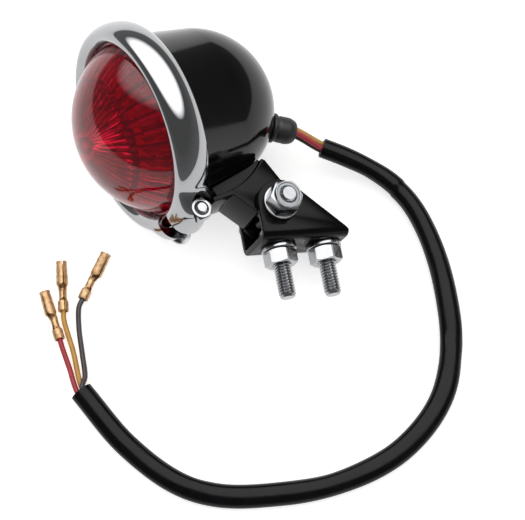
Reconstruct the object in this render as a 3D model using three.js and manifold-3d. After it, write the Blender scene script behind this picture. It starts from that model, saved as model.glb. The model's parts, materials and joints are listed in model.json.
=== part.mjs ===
// Small round motorcycle tail light with its pivoting bracket and its lead, lying on its side.
// Millimetres. The lamp is first built upright: the pivot is the origin, +X runs from the lens
// towards the back of the lamp, +Y runs across it and +Z runs up from the mounting face.
// It is then laid on its side on the table, where +Z is the table's normal.
import * as THREE from "three";
import { mergeVertices } from "three/addons/utils/BufferGeometryUtils.js";
import Module from "manifold-3d";

const wasm = await Module();
wasm.setup();

// ---- driving dimensions ----
const CLEARANCE = 0.3;
const STACK_GAP = 0.05;

const HEAD_TILT_DEG = 17;
const RING_CENTRE_X = -28.8;
const LAMP_AXIS_Z = 42.9;

const RING_MEAN_R = 32.4;
const RING_HALF_AXIAL = 6.2;
const RING_HALF_RADIAL = 3.5;
const RING_WALL = 1.2;
const RING_FRONT_CURL_DEG = 150;
const RING_REAR_CURL_DEG = 119;
const RING_SPLIT_NEAR_Y = -1.5;
const RING_SPLIT_FAR_Y = 7.0;
const CLAMP_AXIS_BELOW = 35.9;
const CLAMP_AXIS_BEHIND = 1.2;
const LUG_R = 4.7;
const LUG_NEAR_OUTER_Y = -10.4;
const LUG_FAR_OUTER_Y = 10.2;
const RING_SCREW_R = 1.9;
const RING_SCREW_HOLE_R = 2.2;
const RING_SCREW_HEAD_R = 3.6;
const RING_SCREW_HEAD_H = 2.4;
const RING_NUT_FLATS = 7;
const RING_NUT_H = 3.0;
const RING_NUT_SINK = 1.2;
const RING_NUT_POCKET_R = 4.35;

const DOME_R = 31.65;
const DOME_CENTRE = 10.35;
const LENS_THICK = 2.2;
const LENS_FLANGE_FRONT = -2.4;
const LENS_FLANGE_BACK = -0.4;
const LENS_FLANGE_R = 33.0;
const GASKET_FRONT = -0.3;
const GASKET_BACK = 1.3;
const GASKET_INNER_R = 30.6;

const RIM_FRONT = 1.4;
const RIM_BACK = 2.9;
const RIM_R = 33.2;
const BUCKET_FRONT_R = 30.1;
const BUCKET_BACK_R = 27.6;
const BUCKET_BACK_CENTRE = 20.5;
const BUCKET_SLOPE_DEG = 8.7;
const BUCKET_WALL = 1.5;

const GROMMET_DROP_DEG = 31;
const GROMMET_FLANGE_R = 5.15;
const GROMMET_FLANGE_H = 1.8;
const GROMMET_GRIP = 0.8;
const GROMMET_NECK_R = 3.9;
const GROMMET_BOOT_R = 4.65;
const GROMMET_BOOT_H = 9.2;
const GROMMET_INNER_H = 1.8;
const GROMMET_BORE_R = 2.6;

const BASE_HALF_WIDTH = 10;
const BASE_THICK = 2;
const BASE_BOTTOM_Z = -11.7;
const BASE_FRONT_X = -7.5;
const BASE_REAR_X = 23.4;
const BASE_BEND_R = 3.2;
const EAR_CENTRE_X = 0.8;
const EAR_CENTRE_Z = 0.2;
const EAR_R = 8.3;
const EAR_SLOPE_NORMAL_DEG = 46.4;
const EAR_HEEL_Z = -9.6;
const STUD_FRONT_X = 1.0;
const STUD_REAR_X = 17.5;
const STUD_TIP_Z = -29.6;
const BOLT_R = 2.95;
const BOLT_HOLE_R = 3.3;
const BOLT_HEAD_FLATS = 10;
const BOLT_HEAD_H = 4;
const WASHER_R = 6;
const WASHER_THICK = 1.5;
const WASHER_SEAT_DEPTH = 0.1;
const NUT_FLATS = 10;
const NUT_H = 5;
const LOCK_NUT_H = 5.4;
const LOCK_INSERT_R = 3.9;
const LOCK_INSERT_H = 1.2;

const FOOT_HALF_WIDTH = 7.7;
const FOOT_THICK = 1.7;
const FOOT_R = 7.6;
const FOOT_TIP = [-2.4, 17.2];
const FOOT_CORNER = [-16.2, 6.0];
const FOOT_FRONT_LOW = [-7.4, -1.7];
const FOOT_ARC_SAG = [-7.7, 10.9];
const FOOT_LIP_END = [-22.2, 4.0];
const PAD_THICK = 4.4;

const BOARD_FRONT = 8.5;
const BOARD_THICK = 1.6;
const BOARD_R = 27;
const LED_R = 2.4;
const LED_H = 5.2;
const LED_INNER_RING_R = 8;
const LED_OUTER_RING_R = 18;
const LED_INNER_COUNT = 4;
const LED_OUTER_COUNT = 8;
const TRAY_FRONT = 1.9;
const TRAY_FRONT_R = 28.2;
const TRAY_BACK_R = 26.4;
const TRAY_THICK = 0.9;
const CARRIER_BACK = 16.5;
const CARRIER_THICK = 1.5;
const BOARD_SCREW_AT_R = 13;
const BOARD_SCREW_R = 1.45;
const BOARD_SCREW_HOLE_R = 1.75;
const BOARD_SCREW_HEAD_R = 2.6;
const BOARD_SCREW_HEAD_H = 1.6;

const WIRE_R = 0.9;
const INNER_LEAD_R = 0.7;
const WIRE_OFFSET = 1.3;
const SLEEVE_R = 3.5;
const SLEEVE_BORE_R = 2.9;
const SLEEVE_STEPS = 34;
const SLEEVE_SAMPLES = 24;
const WIRE_STEPS = 56;
const BUNDLE_TWIST_DEG = -120;
const CRIMP_R = 1.8;
const NECK_R = 1.45;
const BARREL_R = 1.8;
const BARREL_BORE_R = 1.3;
const CONNECTOR_Z = 1.9;
const CRIMP_L = 3.8;
const NECK_L = 5.6;
const BARREL_L = 8.8;

// How the lamp lies: the table's normal and the direction that stays to the right, in the lamp's
// own upright frame.
const TABLE_UP = new THREE.Vector3(-0.3649, -0.9295, 0.0533).normalize();
const RIGHT_HINT = new THREE.Vector3(0.9058, -0.3787, -0.1893);

// The sleeve's centreline on the table, from near the grommet round to its open end.
const SLEEVE_ROUTE = [
  [37.9, 12.4, 9.6],
  [46.2, 9.8, 7.6],
  [55.1, 5.9, 5.8],
  [63, 0.5, 4.5],
  [69.3, -7.2, 3.8],
  [75.5, -21.2, 3.6],
  [79.4, -37.5, 3.6],
  [80.8, -57, 3.6],
  [76.7, -75.8, 3.6],
  [63.4, -92.7, 3.6],
  [42.3, -103.7, 3.6],
  [19.4, -107.7, 3.6],
  [3.6, -107.7, 3.6],
  [-9, -103.9, 3.6],
  [-26, -91.6, 3.6],
  [-41.9, -73.5, 3.6],
];
// Where each wire goes after the sleeve, and its connector's crimp and heading.
const TAILS = {
  red: { by: [[-46.6, -65, 1.9]], crimp: [-50.3, -55.3], headingDeg: 109 },
  yellow: { by: [[-45.8, -58.9, 1.2]], crimp: [-49.7, -45.4], headingDeg: 95.4 },
  black: {
    by: [[-41, -68.3, 3], [-42.6, -60, 1.2], [-44.3, -50.5, 1.2]],
    crimp: [-43.6, -41],
    headingDeg: 68,
  },
};

// ---- materials ----
const LOOKS = {
  chrome: { color: 0xd8dadc, roughness: 0.08, metalness: 1 },
  gloss_black: { color: 0x0c0c0d, roughness: 0.15, metalness: 0.1 },
  satin_black: { color: 0x1c1c1e, roughness: 0.4, metalness: 0.1 },
  zinc: { color: 0xc9ccd0, roughness: 0.25, metalness: 1 },
  red_lens: { color: 0xb00818, roughness: 0.08, metalness: 0 },
  white_plastic: { color: 0xe8e8e4, roughness: 0.45, metalness: 0 },
  board_green: { color: 0x1e5b34, roughness: 0.5, metalness: 0 },
  led_resin: { color: 0xc81420, roughness: 0.15, metalness: 0 },
  grommet_rubber: { color: 0x111112, roughness: 0.6, metalness: 0 },
  gasket_rubber: { color: 0x1a1a1a, roughness: 0.8, metalness: 0 },
  nylon: { color: 0xdfe3e6, roughness: 0.4, metalness: 0 },
  sleeve_black: { color: 0x0d0d0e, roughness: 0.25, metalness: 0 },
  wire_yellow: { color: 0xd79a32, roughness: 0.45, metalness: 0 },
  wire_red: { color: 0xb02a36, roughness: 0.45, metalness: 0 },
  wire_black: { color: 0x1b1919, roughness: 0.45, metalness: 0 },
  brass: { color: 0xb5814e, roughness: 0.35, metalness: 1 },
};

const group = new THREE.Group();
group.name = "tail_light";
const upright = [];
const cords = [];

// ---- helpers ----
const radians = THREE.MathUtils.degToRad;

function signedVolume(geometry) {
  const at = geometry.getAttribute("position");
  const index = geometry.getIndex();
  const a = new THREE.Vector3();
  const b = new THREE.Vector3();
  const c = new THREE.Vector3();
  let total = 0;
  for (let i = 0; i < index.count; i += 3) {
    a.fromBufferAttribute(at, index.getX(i));
    b.fromBufferAttribute(at, index.getX(i + 1));
    c.fromBufferAttribute(at, index.getX(i + 2));
    total += a.dot(b.cross(c));
  }
  return total;
}

// Joins equal corners, drops faces that collapsed, and turns the faces outwards.
function closed(source) {
  const bare = source.clone();
  bare.deleteAttribute("normal");
  if (bare.getAttribute("uv")) {
    bare.deleteAttribute("uv");
  }
  const merged = mergeVertices(bare, 1e-4);
  const old = merged.getIndex();
  const kept = [];
  for (let i = 0; i < old.count; i += 3) {
    const corners = [old.getX(i), old.getX(i + 1), old.getX(i + 2)];
    if (new Set(corners).size === 3) {
      kept.push(...corners);
    }
  }
  merged.setIndex(kept);
  if (signedVolume(merged) < 0) {
    for (let i = 0; i < kept.length; i += 3) {
      [kept[i + 1], kept[i + 2]] = [kept[i + 2], kept[i + 1]];
    }
    merged.setIndex(kept);
  }
  merged.clearGroups();
  merged.computeVertexNormals();
  return merged;
}

function toSolid(geometry) {
  const mesh = closed(geometry);
  return new wasm.Manifold(
    new wasm.Mesh({
      numProp: 3,
      vertProperties: new Float32Array(mesh.getAttribute("position").array),
      triVerts: new Uint32Array(mesh.getIndex().array),
    }),
  );
}

function toGeometry(solid) {
  const mesh = solid.getMesh();
  const geometry = new THREE.BufferGeometry();
  geometry.setAttribute("position", new THREE.BufferAttribute(new Float32Array(mesh.vertProperties), 3));
  geometry.setIndex(Array.from(mesh.triVerts));
  geometry.computeVertexNormals();
  return geometry;
}

function add(...parts) {
  return toGeometry(parts.map(toSolid).reduce((a, b) => a.add(b)));
}

function cut(base, ...tools) {
  return toGeometry(tools.map(toSolid).reduce((a, b) => a.subtract(b), toSolid(base)));
}

function common(a, b) {
  return toGeometry(toSolid(a).intersect(toSolid(b)));
}

// A solid of revolution from [along, radius] pairs, with its axis on +X.
function turned(profile, sides) {
  const points = profile.map(([along, radius]) => new THREE.Vector2(Math.max(radius, 0), along));
  const geometry = new THREE.LatheGeometry(points, sides);
  geometry.rotateZ(-Math.PI / 2);
  return closed(geometry);
}

// A rod on +X from one station to another.
function rod(radius, from, to, sides) {
  return turned([[from, 0], [from, radius], [to, radius], [to, 0]], sides);
}

function along(axis, geometry) {
  const turn = new THREE.Quaternion().setFromUnitVectors(new THREE.Vector3(1, 0, 0), axis);
  return geometry.applyQuaternion(turn);
}

const ACROSS = new THREE.Vector3(0, 1, 0);
const DOWN = new THREE.Vector3(0, 0, -1);

// A flat outline in X and Z, made thick across Y.
function plate(shape, fromY, toY, curveSteps = 10) {
  const geometry = new THREE.ExtrudeGeometry(shape, {
    depth: toY - fromY,
    bevelEnabled: false,
    curveSegments: curveSteps,
  });
  geometry.rotateX(Math.PI / 2);
  geometry.translate(0, toY, 0);
  return closed(geometry);
}

function polygon(points) {
  return new THREE.Shape(points.map(([x, z]) => new THREE.Vector2(x, z)));
}

function hexagon(flats) {
  const corner = flats / Math.sqrt(3);
  const corners = [...Array(6).keys()].map((i) => {
    const angle = (i * Math.PI) / 3 + Math.PI / 6;
    return [corner * Math.cos(angle), corner * Math.sin(angle)];
  });
  return polygon(corners);
}

// A hexagonal prism on +X with its flats facing up, and a round hole if it has one.
function hexPrism(flats, from, to, holeR = 0) {
  const shape = hexagon(flats);
  if (holeR > 0) {
    shape.holes.push(new THREE.Path().absarc(0, 0, holeR, 0, 2 * Math.PI, true));
  }
  const geometry = new THREE.ExtrudeGeometry(shape, {
    depth: to - from,
    bevelEnabled: false,
    curveSegments: 12,
  });
  geometry.translate(0, 0, from);
  geometry.rotateY(Math.PI / 2);
  return closed(geometry);
}

function keep(name, look, geometry) {
  upright.push({ name, look, geometry });
}

// Places a geometry made on the lamp's axis (x = 0 at the clamp ring's middle) into the upright frame.
const headTurn = new THREE.Matrix4().makeRotationY(-radians(HEAD_TILT_DEG));
const headShift = new THREE.Matrix4().makeTranslation(RING_CENTRE_X, 0, LAMP_AXIS_Z);
const headMatrix = headTurn.clone().multiply(headShift);

function keepOnHead(name, look, geometry) {
  keep(name, look, geometry.clone().applyMatrix4(headMatrix));
}

// ---- clamp ring, its screw and its nut ----
function ringArc(axialHalf, radialHalf, fromDeg, toDeg, steps) {
  return [...Array(steps + 1).keys()].map((i) => {
    const angle = radians(fromDeg + ((toDeg - fromDeg) * i) / steps);
    return [axialHalf * Math.sin(angle), RING_MEAN_R + radialHalf * Math.cos(angle)];
  });
}
const ringOuter = ringArc(RING_HALF_AXIAL, RING_HALF_RADIAL, -RING_FRONT_CURL_DEG, RING_REAR_CURL_DEG, 9);
const ringInner = ringArc(
  RING_HALF_AXIAL - RING_WALL,
  RING_HALF_RADIAL - RING_WALL,
  RING_REAR_CURL_DEG,
  -RING_FRONT_CURL_DEG,
  6,
);
const ringBand = turned([...ringOuter, ...ringInner, ringOuter[0]], 40);
const clampZ = -CLAMP_AXIS_BELOW;
const insideRing = rod(RING_MEAN_R + 1.4, -RING_HALF_AXIAL, RING_HALF_AXIAL + 1, 40);

function lug(fromY, toY) {
  const boss = along(ACROSS, rod(LUG_R, fromY, toY, 20));
  boss.translate(CLAMP_AXIS_BEHIND, 0, clampZ);
  return cut(boss, insideRing);
}

const splitBox = new THREE.BoxGeometry(40, RING_SPLIT_FAR_Y - RING_SPLIT_NEAR_Y, 20);
splitBox.translate(0, (RING_SPLIT_FAR_Y + RING_SPLIT_NEAR_Y) / 2, clampZ);
const screwHole = along(ACROSS, rod(RING_SCREW_HOLE_R, -20, 20, 16));
screwHole.translate(CLAMP_AXIS_BEHIND, 0, clampZ);
const nutPocket = along(ACROSS, rod(RING_NUT_POCKET_R, -20, LUG_NEAR_OUTER_Y + RING_NUT_SINK, 20));
nutPocket.translate(CLAMP_AXIS_BEHIND, 0, clampZ);
const headRoom = along(ACROSS, rod(RING_NUT_POCKET_R, LUG_FAR_OUTER_Y, 20, 20));
headRoom.translate(CLAMP_AXIS_BEHIND, 0, clampZ);
const clampRing = cut(
  add(ringBand, lug(LUG_NEAR_OUTER_Y, RING_SPLIT_NEAR_Y), lug(RING_SPLIT_FAR_Y, LUG_FAR_OUTER_Y)),
  splitBox,
  screwHole,
  nutPocket,
  headRoom,
);
keepOnHead("clamp_ring", "chrome", clampRing);

const nutSeatY = LUG_NEAR_OUTER_Y + RING_NUT_SINK - STACK_GAP;
const nutOuterY = nutSeatY - RING_NUT_H;
const ringScrew = along(
  ACROSS,
  turned(
    [
      [nutOuterY - 0.8, 0],
      [nutOuterY - 0.8, RING_SCREW_R - 0.4],
      [nutOuterY - 0.4, RING_SCREW_R],
      [LUG_FAR_OUTER_Y + STACK_GAP, RING_SCREW_R],
      [LUG_FAR_OUTER_Y + STACK_GAP, RING_SCREW_HEAD_R],
      [LUG_FAR_OUTER_Y + 1.4, RING_SCREW_HEAD_R],
      [LUG_FAR_OUTER_Y + RING_SCREW_HEAD_H, RING_SCREW_HEAD_R - 1.3],
      [LUG_FAR_OUTER_Y + RING_SCREW_HEAD_H, 0],
    ],
    20,
  ),
);
ringScrew.translate(CLAMP_AXIS_BEHIND, 0, clampZ);
keepOnHead("ring_screw", "zinc", ringScrew);

const ringNut = along(ACROSS, hexPrism(RING_NUT_FLATS, nutOuterY, nutSeatY, RING_SCREW_HOLE_R));
ringNut.translate(CLAMP_AXIS_BEHIND, 0, clampZ);
keepOnHead("ring_nut", "zinc", ringNut);

// ---- lens and gasket ----
function domeArc(radius, fromX, steps) {
  const start = Math.acos((DOME_CENTRE - fromX) / radius);
  return [...Array(steps + 1).keys()].map((i) => {
    const angle = start * (1 - i / steps);
    return [DOME_CENTRE - radius * Math.cos(angle), radius * Math.sin(angle)];
  });
}
const domeOutside = domeArc(DOME_R, LENS_FLANGE_FRONT, 7);
const domeInside = domeArc(DOME_R - LENS_THICK, LENS_FLANGE_BACK, 6).reverse();
const lens = turned(
  [
    ...domeInside,
    [LENS_FLANGE_BACK, LENS_FLANGE_R],
    [LENS_FLANGE_FRONT, LENS_FLANGE_R],
    ...domeOutside,
  ],
  36,
);
keepOnHead("lens", "red_lens", lens);

const gasket = turned(
  [
    [GASKET_FRONT, GASKET_INNER_R],
    [GASKET_FRONT, LENS_FLANGE_R],
    [GASKET_BACK, LENS_FLANGE_R],
    [GASKET_BACK, GASKET_INNER_R],
    [GASKET_FRONT, GASKET_INNER_R],
  ],
  40,
);
keepOnHead("lens_gasket", "gasket_rubber", gasket);

// ---- housing ----
const slope = radians(BUCKET_SLOPE_DEG);
function bucketBack(radius, steps) {
  return [...Array(steps + 1).keys()].map((i) => {
    const angle = slope + (Math.PI / 2 - slope) * (i / steps);
    return [BUCKET_BACK_CENTRE + radius * Math.sin(angle), radius * Math.cos(angle)];
  });
}
function bucketOutside(grow) {
  return [
    [RIM_BACK + 1.4, BUCKET_FRONT_R + 0.35 + grow],
    ...bucketBack(BUCKET_BACK_R + grow, 8),
  ];
}
const bucketInside = bucketBack(BUCKET_BACK_R - BUCKET_WALL, 7).reverse();
const bucketShell = turned(
  [
    ...bucketInside,
    [RIM_FRONT, BUCKET_FRONT_R - BUCKET_WALL + 0.2],
    [RIM_FRONT, RIM_R],
    [RIM_BACK, RIM_R],
    [RIM_BACK, BUCKET_FRONT_R + 0.9],
    ...bucketOutside(0),
  ],
  36,
);
const grommetAngle = radians(GROMMET_DROP_DEG);
const grommetOut = new THREE.Vector3(Math.cos(grommetAngle), 0, -Math.sin(grommetAngle));
const grommetSeat = new THREE.Vector3(BUCKET_BACK_CENTRE, 0, 0).addScaledVector(grommetOut, BUCKET_BACK_R);

function atGrommet(geometry) {
  return along(grommetOut, geometry).translate(grommetSeat.x, grommetSeat.y, grommetSeat.z);
}

const grommetHole = atGrommet(rod(GROMMET_NECK_R + CLEARANCE, -5, 5, 20));
keepOnHead("housing", "gloss_black", cut(bucketShell, grommetHole));

const bootRound = 2.6;
const bootTop = GROMMET_BOOT_H;
const grommet = turned(
  [
    [-BUCKET_WALL - GROMMET_GRIP - GROMMET_INNER_H, GROMMET_BORE_R],
    [-BUCKET_WALL - GROMMET_GRIP - GROMMET_INNER_H, GROMMET_NECK_R + 0.6],
    [-BUCKET_WALL - GROMMET_GRIP, GROMMET_FLANGE_R - 0.5],
    [-BUCKET_WALL - GROMMET_GRIP, GROMMET_NECK_R],
    [CLEARANCE, GROMMET_NECK_R],
    [CLEARANCE, GROMMET_FLANGE_R],
    [GROMMET_FLANGE_H - 0.4, GROMMET_FLANGE_R],
    [GROMMET_FLANGE_H, GROMMET_FLANGE_R - 0.4],
    [GROMMET_FLANGE_H, GROMMET_BOOT_R - 0.6],
    [GROMMET_FLANGE_H + 0.8, GROMMET_BOOT_R],
    [bootTop - bootRound, GROMMET_BOOT_R],
    [bootTop - bootRound * 0.35, GROMMET_BOOT_R - bootRound * 0.25],
    [bootTop - bootRound * 0.05, GROMMET_BOOT_R - bootRound * 0.65],
    [bootTop, GROMMET_BORE_R],
    [-BUCKET_WALL - GROMMET_GRIP - GROMMET_INNER_H, GROMMET_BORE_R],
  ],
  18,
);
keepOnHead("cable_grommet", "grommet_rubber", atGrommet(grommet));

// ---- board, lights, tray and carrier inside the housing ----
const screwSpots = [
  [0, BOARD_SCREW_AT_R],
  [0, -BOARD_SCREW_AT_R],
];
function drilled(geometry) {
  const holes = screwSpots.map(([y, z]) => rod(BOARD_SCREW_HOLE_R, 0, 30, 12).translate(0, y, z));
  return cut(geometry, ...holes);
}
const leadSlot = new THREE.BoxGeometry(40, 9, 6.6).translate(15, 0, -20.6);
const board = rod(BOARD_R - 1.6, BOARD_FRONT, BOARD_FRONT + BOARD_THICK, 36);
keepOnHead("led_board", "board_green", drilled(board));

const tray = turned(
  [
    [TRAY_FRONT, TRAY_FRONT_R - TRAY_THICK],
    [TRAY_FRONT, TRAY_FRONT_R],
    [BOARD_FRONT - CLEARANCE, TRAY_BACK_R],
    [BOARD_FRONT - CLEARANCE, TRAY_BACK_R - 2.2],
    [BOARD_FRONT - CLEARANCE - TRAY_THICK, TRAY_BACK_R - 2.2],
    [TRAY_FRONT, TRAY_FRONT_R - TRAY_THICK],
  ],
  36,
);
keepOnHead("reflector_tray", "white_plastic", tray);

const carrierFront = CARRIER_BACK - CARRIER_THICK;
const carrierPlate = rod(BOARD_R - 2.2, carrierFront, CARRIER_BACK, 36);
const carrierPosts = screwSpots.map(([y, z]) => {
  return rod(3, BOARD_FRONT + BOARD_THICK + STACK_GAP, CARRIER_BACK, 16).translate(0, y, z);
});
keepOnHead(
  "board_carrier",
  "white_plastic",
  cut(drilled(add(carrierPlate, ...carrierPosts)), leadSlot),
);

screwSpots.forEach(([y, z], i) => {
  const headTop = BOARD_FRONT - STACK_GAP - BOARD_SCREW_HEAD_H;
  const screw = turned(
    [
      [headTop, 0],
      [headTop, BOARD_SCREW_HEAD_R - 0.7],
      [headTop + 0.7, BOARD_SCREW_HEAD_R],
      [BOARD_FRONT - STACK_GAP, BOARD_SCREW_HEAD_R],
      [BOARD_FRONT - STACK_GAP, BOARD_SCREW_R],
      [CARRIER_BACK - 0.6, BOARD_SCREW_R],
      [CARRIER_BACK - 0.6, 0],
    ],
    14,
  );
  keepOnHead(`board_screw_${i + 1}`, "zinc", screw.translate(0, y, z));
});

const ledProfile = [
  [BOARD_FRONT - STACK_GAP, 0],
  [BOARD_FRONT - STACK_GAP, LED_R],
  [BOARD_FRONT - LED_H + LED_R, LED_R],
  [BOARD_FRONT - LED_H + LED_R * 0.3, LED_R * 0.72],
  [BOARD_FRONT - LED_H, 0],
];
const ledRings = [
  [LED_INNER_COUNT, LED_INNER_RING_R, 0.25],
  [LED_OUTER_COUNT, LED_OUTER_RING_R, 0.5],
];
let ledNumber = 0;
ledRings.forEach(([count, ringR, phase]) => {
  for (let i = 0; i < count; i += 1) {
    const angle = (2 * Math.PI * (i + phase)) / count;
    const led = turned(ledProfile, 8);
    led.translate(0, ringR * Math.cos(angle), ringR * Math.sin(angle));
    ledNumber += 1;
    keepOnHead(`led_${ledNumber}`, "led_resin", led);
  }
});

// ---- leads between the board and the grommet ----
function circleShape(radius, sides, holeR = 0) {
  const ring = (r) => {
    return [...Array(sides).keys()].map((i) => {
      const angle = (2 * Math.PI * i) / sides;
      return new THREE.Vector2(r * Math.cos(angle), r * Math.sin(angle));
    });
  };
  const shape = new THREE.Shape(ring(radius));
  if (holeR > 0) {
    shape.holes.push(new THREE.Path(ring(holeR).reverse()));
  }
  return shape;
}

function extrudeAlong(curve, radius, sides, steps, holeR = 0) {
  const geometry = new THREE.ExtrudeGeometry(circleShape(radius, sides, holeR), {
    steps,
    extrudePath: curve,
    bevelEnabled: false,
  });
  return closed(geometry);
}

function tube(points, radius, sides, steps) {
  return extrudeAlong(new THREE.CatmullRomCurve3(points, false, "centripetal"), radius, sides, steps);
}

const WIRES = [
  { colour: "red", bundleDeg: 210, sleeveDeg: 120, boardY: -2.4, boardZ: -21.6 },
  { colour: "yellow", bundleDeg: 90, sleeveDeg: 0, boardY: 0, boardZ: -19.2 },
  { colour: "black", bundleDeg: 330, sleeveDeg: 240, boardY: 2.4, boardZ: -21.6 },
];
const grommetSide = new THREE.Vector3(0, 1, 0);
const grommetLift = new THREE.Vector3().crossVectors(grommetOut, grommetSide);
const innerEnd = -BUCKET_WALL - GROMMET_GRIP - GROMMET_INNER_H - 0.2;

function grommetPoint(wire, distance) {
  const angle = radians(wire.bundleDeg);
  return grommetSeat
    .clone()
    .addScaledVector(grommetOut, distance)
    .addScaledVector(grommetSide, WIRE_OFFSET * Math.cos(angle))
    .addScaledVector(grommetLift, WIRE_OFFSET * Math.sin(angle));
}

WIRES.forEach((wire) => {
  const end = grommetPoint(wire, innerEnd);
  const before = grommetPoint(wire, innerEnd - 4);
  const start = new THREE.Vector3(BOARD_FRONT + BOARD_THICK + 0.1, wire.boardY, wire.boardZ);
  const clear = new THREE.Vector3(CARRIER_BACK + 2, wire.boardY, wire.boardZ);
  const middle = new THREE.Vector3(27, wire.boardY, wire.boardZ + 2.4);
  const lead = tube([start, clear, middle, before, end], INNER_LEAD_R, 8, 16);
  keepOnHead(`inner_lead_${wire.colour}`, `wire_${wire.colour}`, lead);
});

// ---- base bracket ----
const slopeAngle = radians(EAR_SLOPE_NORMAL_DEG);
const slopeNormal = [Math.cos(slopeAngle), Math.sin(slopeAngle)];
const slopeOffset = EAR_R + EAR_CENTRE_X * slopeNormal[0] + EAR_CENTRE_Z * slopeNormal[1];
const heelX = (slopeOffset - slopeNormal[1] * EAR_HEEL_Z) / slopeNormal[0];
const heelCut = 1.6;
const baseSide = new THREE.Shape();
baseSide.moveTo(BASE_FRONT_X, BASE_BOTTOM_Z);
baseSide.lineTo(BASE_REAR_X, BASE_BOTTOM_Z);
baseSide.lineTo(BASE_REAR_X, EAR_HEEL_Z - heelCut * 0.3);
baseSide.lineTo(Math.min(heelX, BASE_REAR_X - 0.5), EAR_HEEL_Z + heelCut * 0.1);
baseSide.absarc(EAR_CENTRE_X, EAR_CENTRE_Z, EAR_R, slopeAngle, Math.PI, false);
baseSide.closePath();

// The channel's own section: outside corners rounded, inside corners rounded less.
function channelSection(halfWidth, floor, top, bend) {
  const section = [];
  const steps = 5;
  section.push([-halfWidth, top]);
  for (let i = 0; i <= steps; i += 1) {
    const angle = Math.PI + (Math.PI / 2) * (i / steps);
    section.push([-halfWidth + bend + bend * Math.cos(angle), floor + bend + bend * Math.sin(angle)]);
  }
  for (let i = 0; i <= steps; i += 1) {
    const angle = (3 * Math.PI) / 2 + (Math.PI / 2) * (i / steps);
    section.push([halfWidth - bend + bend * Math.cos(angle), floor + bend + bend * Math.sin(angle)]);
  }
  section.push([halfWidth, top]);
  return section;
}

// A section in Y and Z, extruded along X.
function extrusion(section, fromX, toX) {
  const shape = polygon(section);
  const geometry = new THREE.ExtrudeGeometry(shape, { depth: toX - fromX, bevelEnabled: false });
  const turn = new THREE.Matrix4().makeBasis(
    new THREE.Vector3(0, 1, 0),
    new THREE.Vector3(0, 0, 1),
    new THREE.Vector3(1, 0, 0),
  );
  geometry.applyMatrix4(turn);
  geometry.translate(fromX, 0, 0);
  return closed(geometry);
}

const channelTop = 12;
const channelOuter = extrusion(
  channelSection(BASE_HALF_WIDTH, BASE_BOTTOM_Z, channelTop, BASE_BEND_R),
  BASE_FRONT_X - 1,
  BASE_REAR_X + 1,
);
const channelInner = extrusion(
  channelSection(
    BASE_HALF_WIDTH - BASE_THICK,
    BASE_BOTTOM_Z + BASE_THICK,
    channelTop + 1,
    BASE_BEND_R - BASE_THICK,
  ),
  BASE_FRONT_X - 2,
  BASE_REAR_X + 2,
);
const pivotHole = along(ACROSS, rod(BOLT_HOLE_R, -20, 20, 20));
const studHoles = [STUD_FRONT_X, STUD_REAR_X].map((x) => {
  return along(DOWN, rod(BOLT_HOLE_R, 0, 30, 20)).translate(x, 0, 0);
});
const washerSeats = [STUD_FRONT_X, STUD_REAR_X].map((x) => {
  const seat = rod(WASHER_R + CLEARANCE, -BASE_BOTTOM_Z - WASHER_SEAT_DEPTH, 30, 22);
  return along(DOWN, seat).translate(x, 0, 0);
});
const baseBlank = common(channelOuter, plate(baseSide, -BASE_HALF_WIDTH, BASE_HALF_WIDTH, 10));
keep("base_bracket", "satin_black", cut(baseBlank, channelInner, pivotHole, ...studHoles, ...washerSeats));

// ---- mounting bolts, washers and nuts ----
const floorTop = BASE_BOTTOM_Z + BASE_THICK;
[["front", STUD_FRONT_X], ["rear", STUD_REAR_X]].forEach(([place, x]) => {
  const head = hexPrism(BOLT_HEAD_FLATS, -floorTop - STACK_GAP - BOLT_HEAD_H, -floorTop - STACK_GAP);
  head.rotateX(Math.PI / 2);
  const shank = turned(
    [
      [-floorTop - 1, 0],
      [-floorTop - 1, BOLT_R],
      [-STUD_TIP_Z - 0.8, BOLT_R],
      [-STUD_TIP_Z, BOLT_R - 0.7],
      [-STUD_TIP_Z, 0],
    ],
    20,
  );
  keep(`mount_bolt_${place}`, "zinc", along(DOWN, add(head, shank)).translate(x, 0, 0));
  const washerTop = -BASE_BOTTOM_Z + STACK_GAP;
  const washer = turned(
    [
      [washerTop, BOLT_HOLE_R],
      [washerTop, WASHER_R],
      [washerTop + WASHER_THICK, WASHER_R],
      [washerTop + WASHER_THICK, BOLT_HOLE_R],
      [washerTop, BOLT_HOLE_R],
    ],
    22,
  );
  keep(`mount_washer_${place}`, "zinc", along(DOWN, washer).translate(x, 0, 0));
  const nutTop = washerTop + WASHER_THICK + STACK_GAP;
  const nut = hexPrism(NUT_FLATS, nutTop, nutTop + NUT_H, BOLT_HOLE_R);
  keep(`mount_nut_${place}`, "zinc", along(DOWN, nut).translate(x, 0, 0));
});

// ---- pivot bolt, washers, self-locking nut and its insert ----
const earFace = BASE_HALF_WIDTH + STACK_GAP;
const pivotWasher = () => {
  return turned(
    [
      [earFace, BOLT_HOLE_R],
      [earFace, WASHER_R],
      [earFace + WASHER_THICK, WASHER_R],
      [earFace + WASHER_THICK, BOLT_HOLE_R],
      [earFace, BOLT_HOLE_R],
    ],
    22,
  );
};
const washerFace = earFace + WASHER_THICK + STACK_GAP;
const nutFace = washerFace + LOCK_NUT_H;
const NEAR = new THREE.Vector3(0, -1, 0);
keep("pivot_washer_head_side", "zinc", along(ACROSS, pivotWasher()));
keep("pivot_washer_nut_side", "zinc", along(NEAR, pivotWasher()));
const boltTip = nutFace + LOCK_INSERT_H + 0.6;
const pivotHead = hexPrism(BOLT_HEAD_FLATS, washerFace, washerFace + BOLT_HEAD_H);
const pivotShank = turned(
  [
    [-boltTip, 0],
    [-boltTip, BOLT_R - 0.7],
    [-boltTip + 0.8, BOLT_R],
    [washerFace + 1, BOLT_R],
    [washerFace + 1, 0],
  ],
  20,
);
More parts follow.
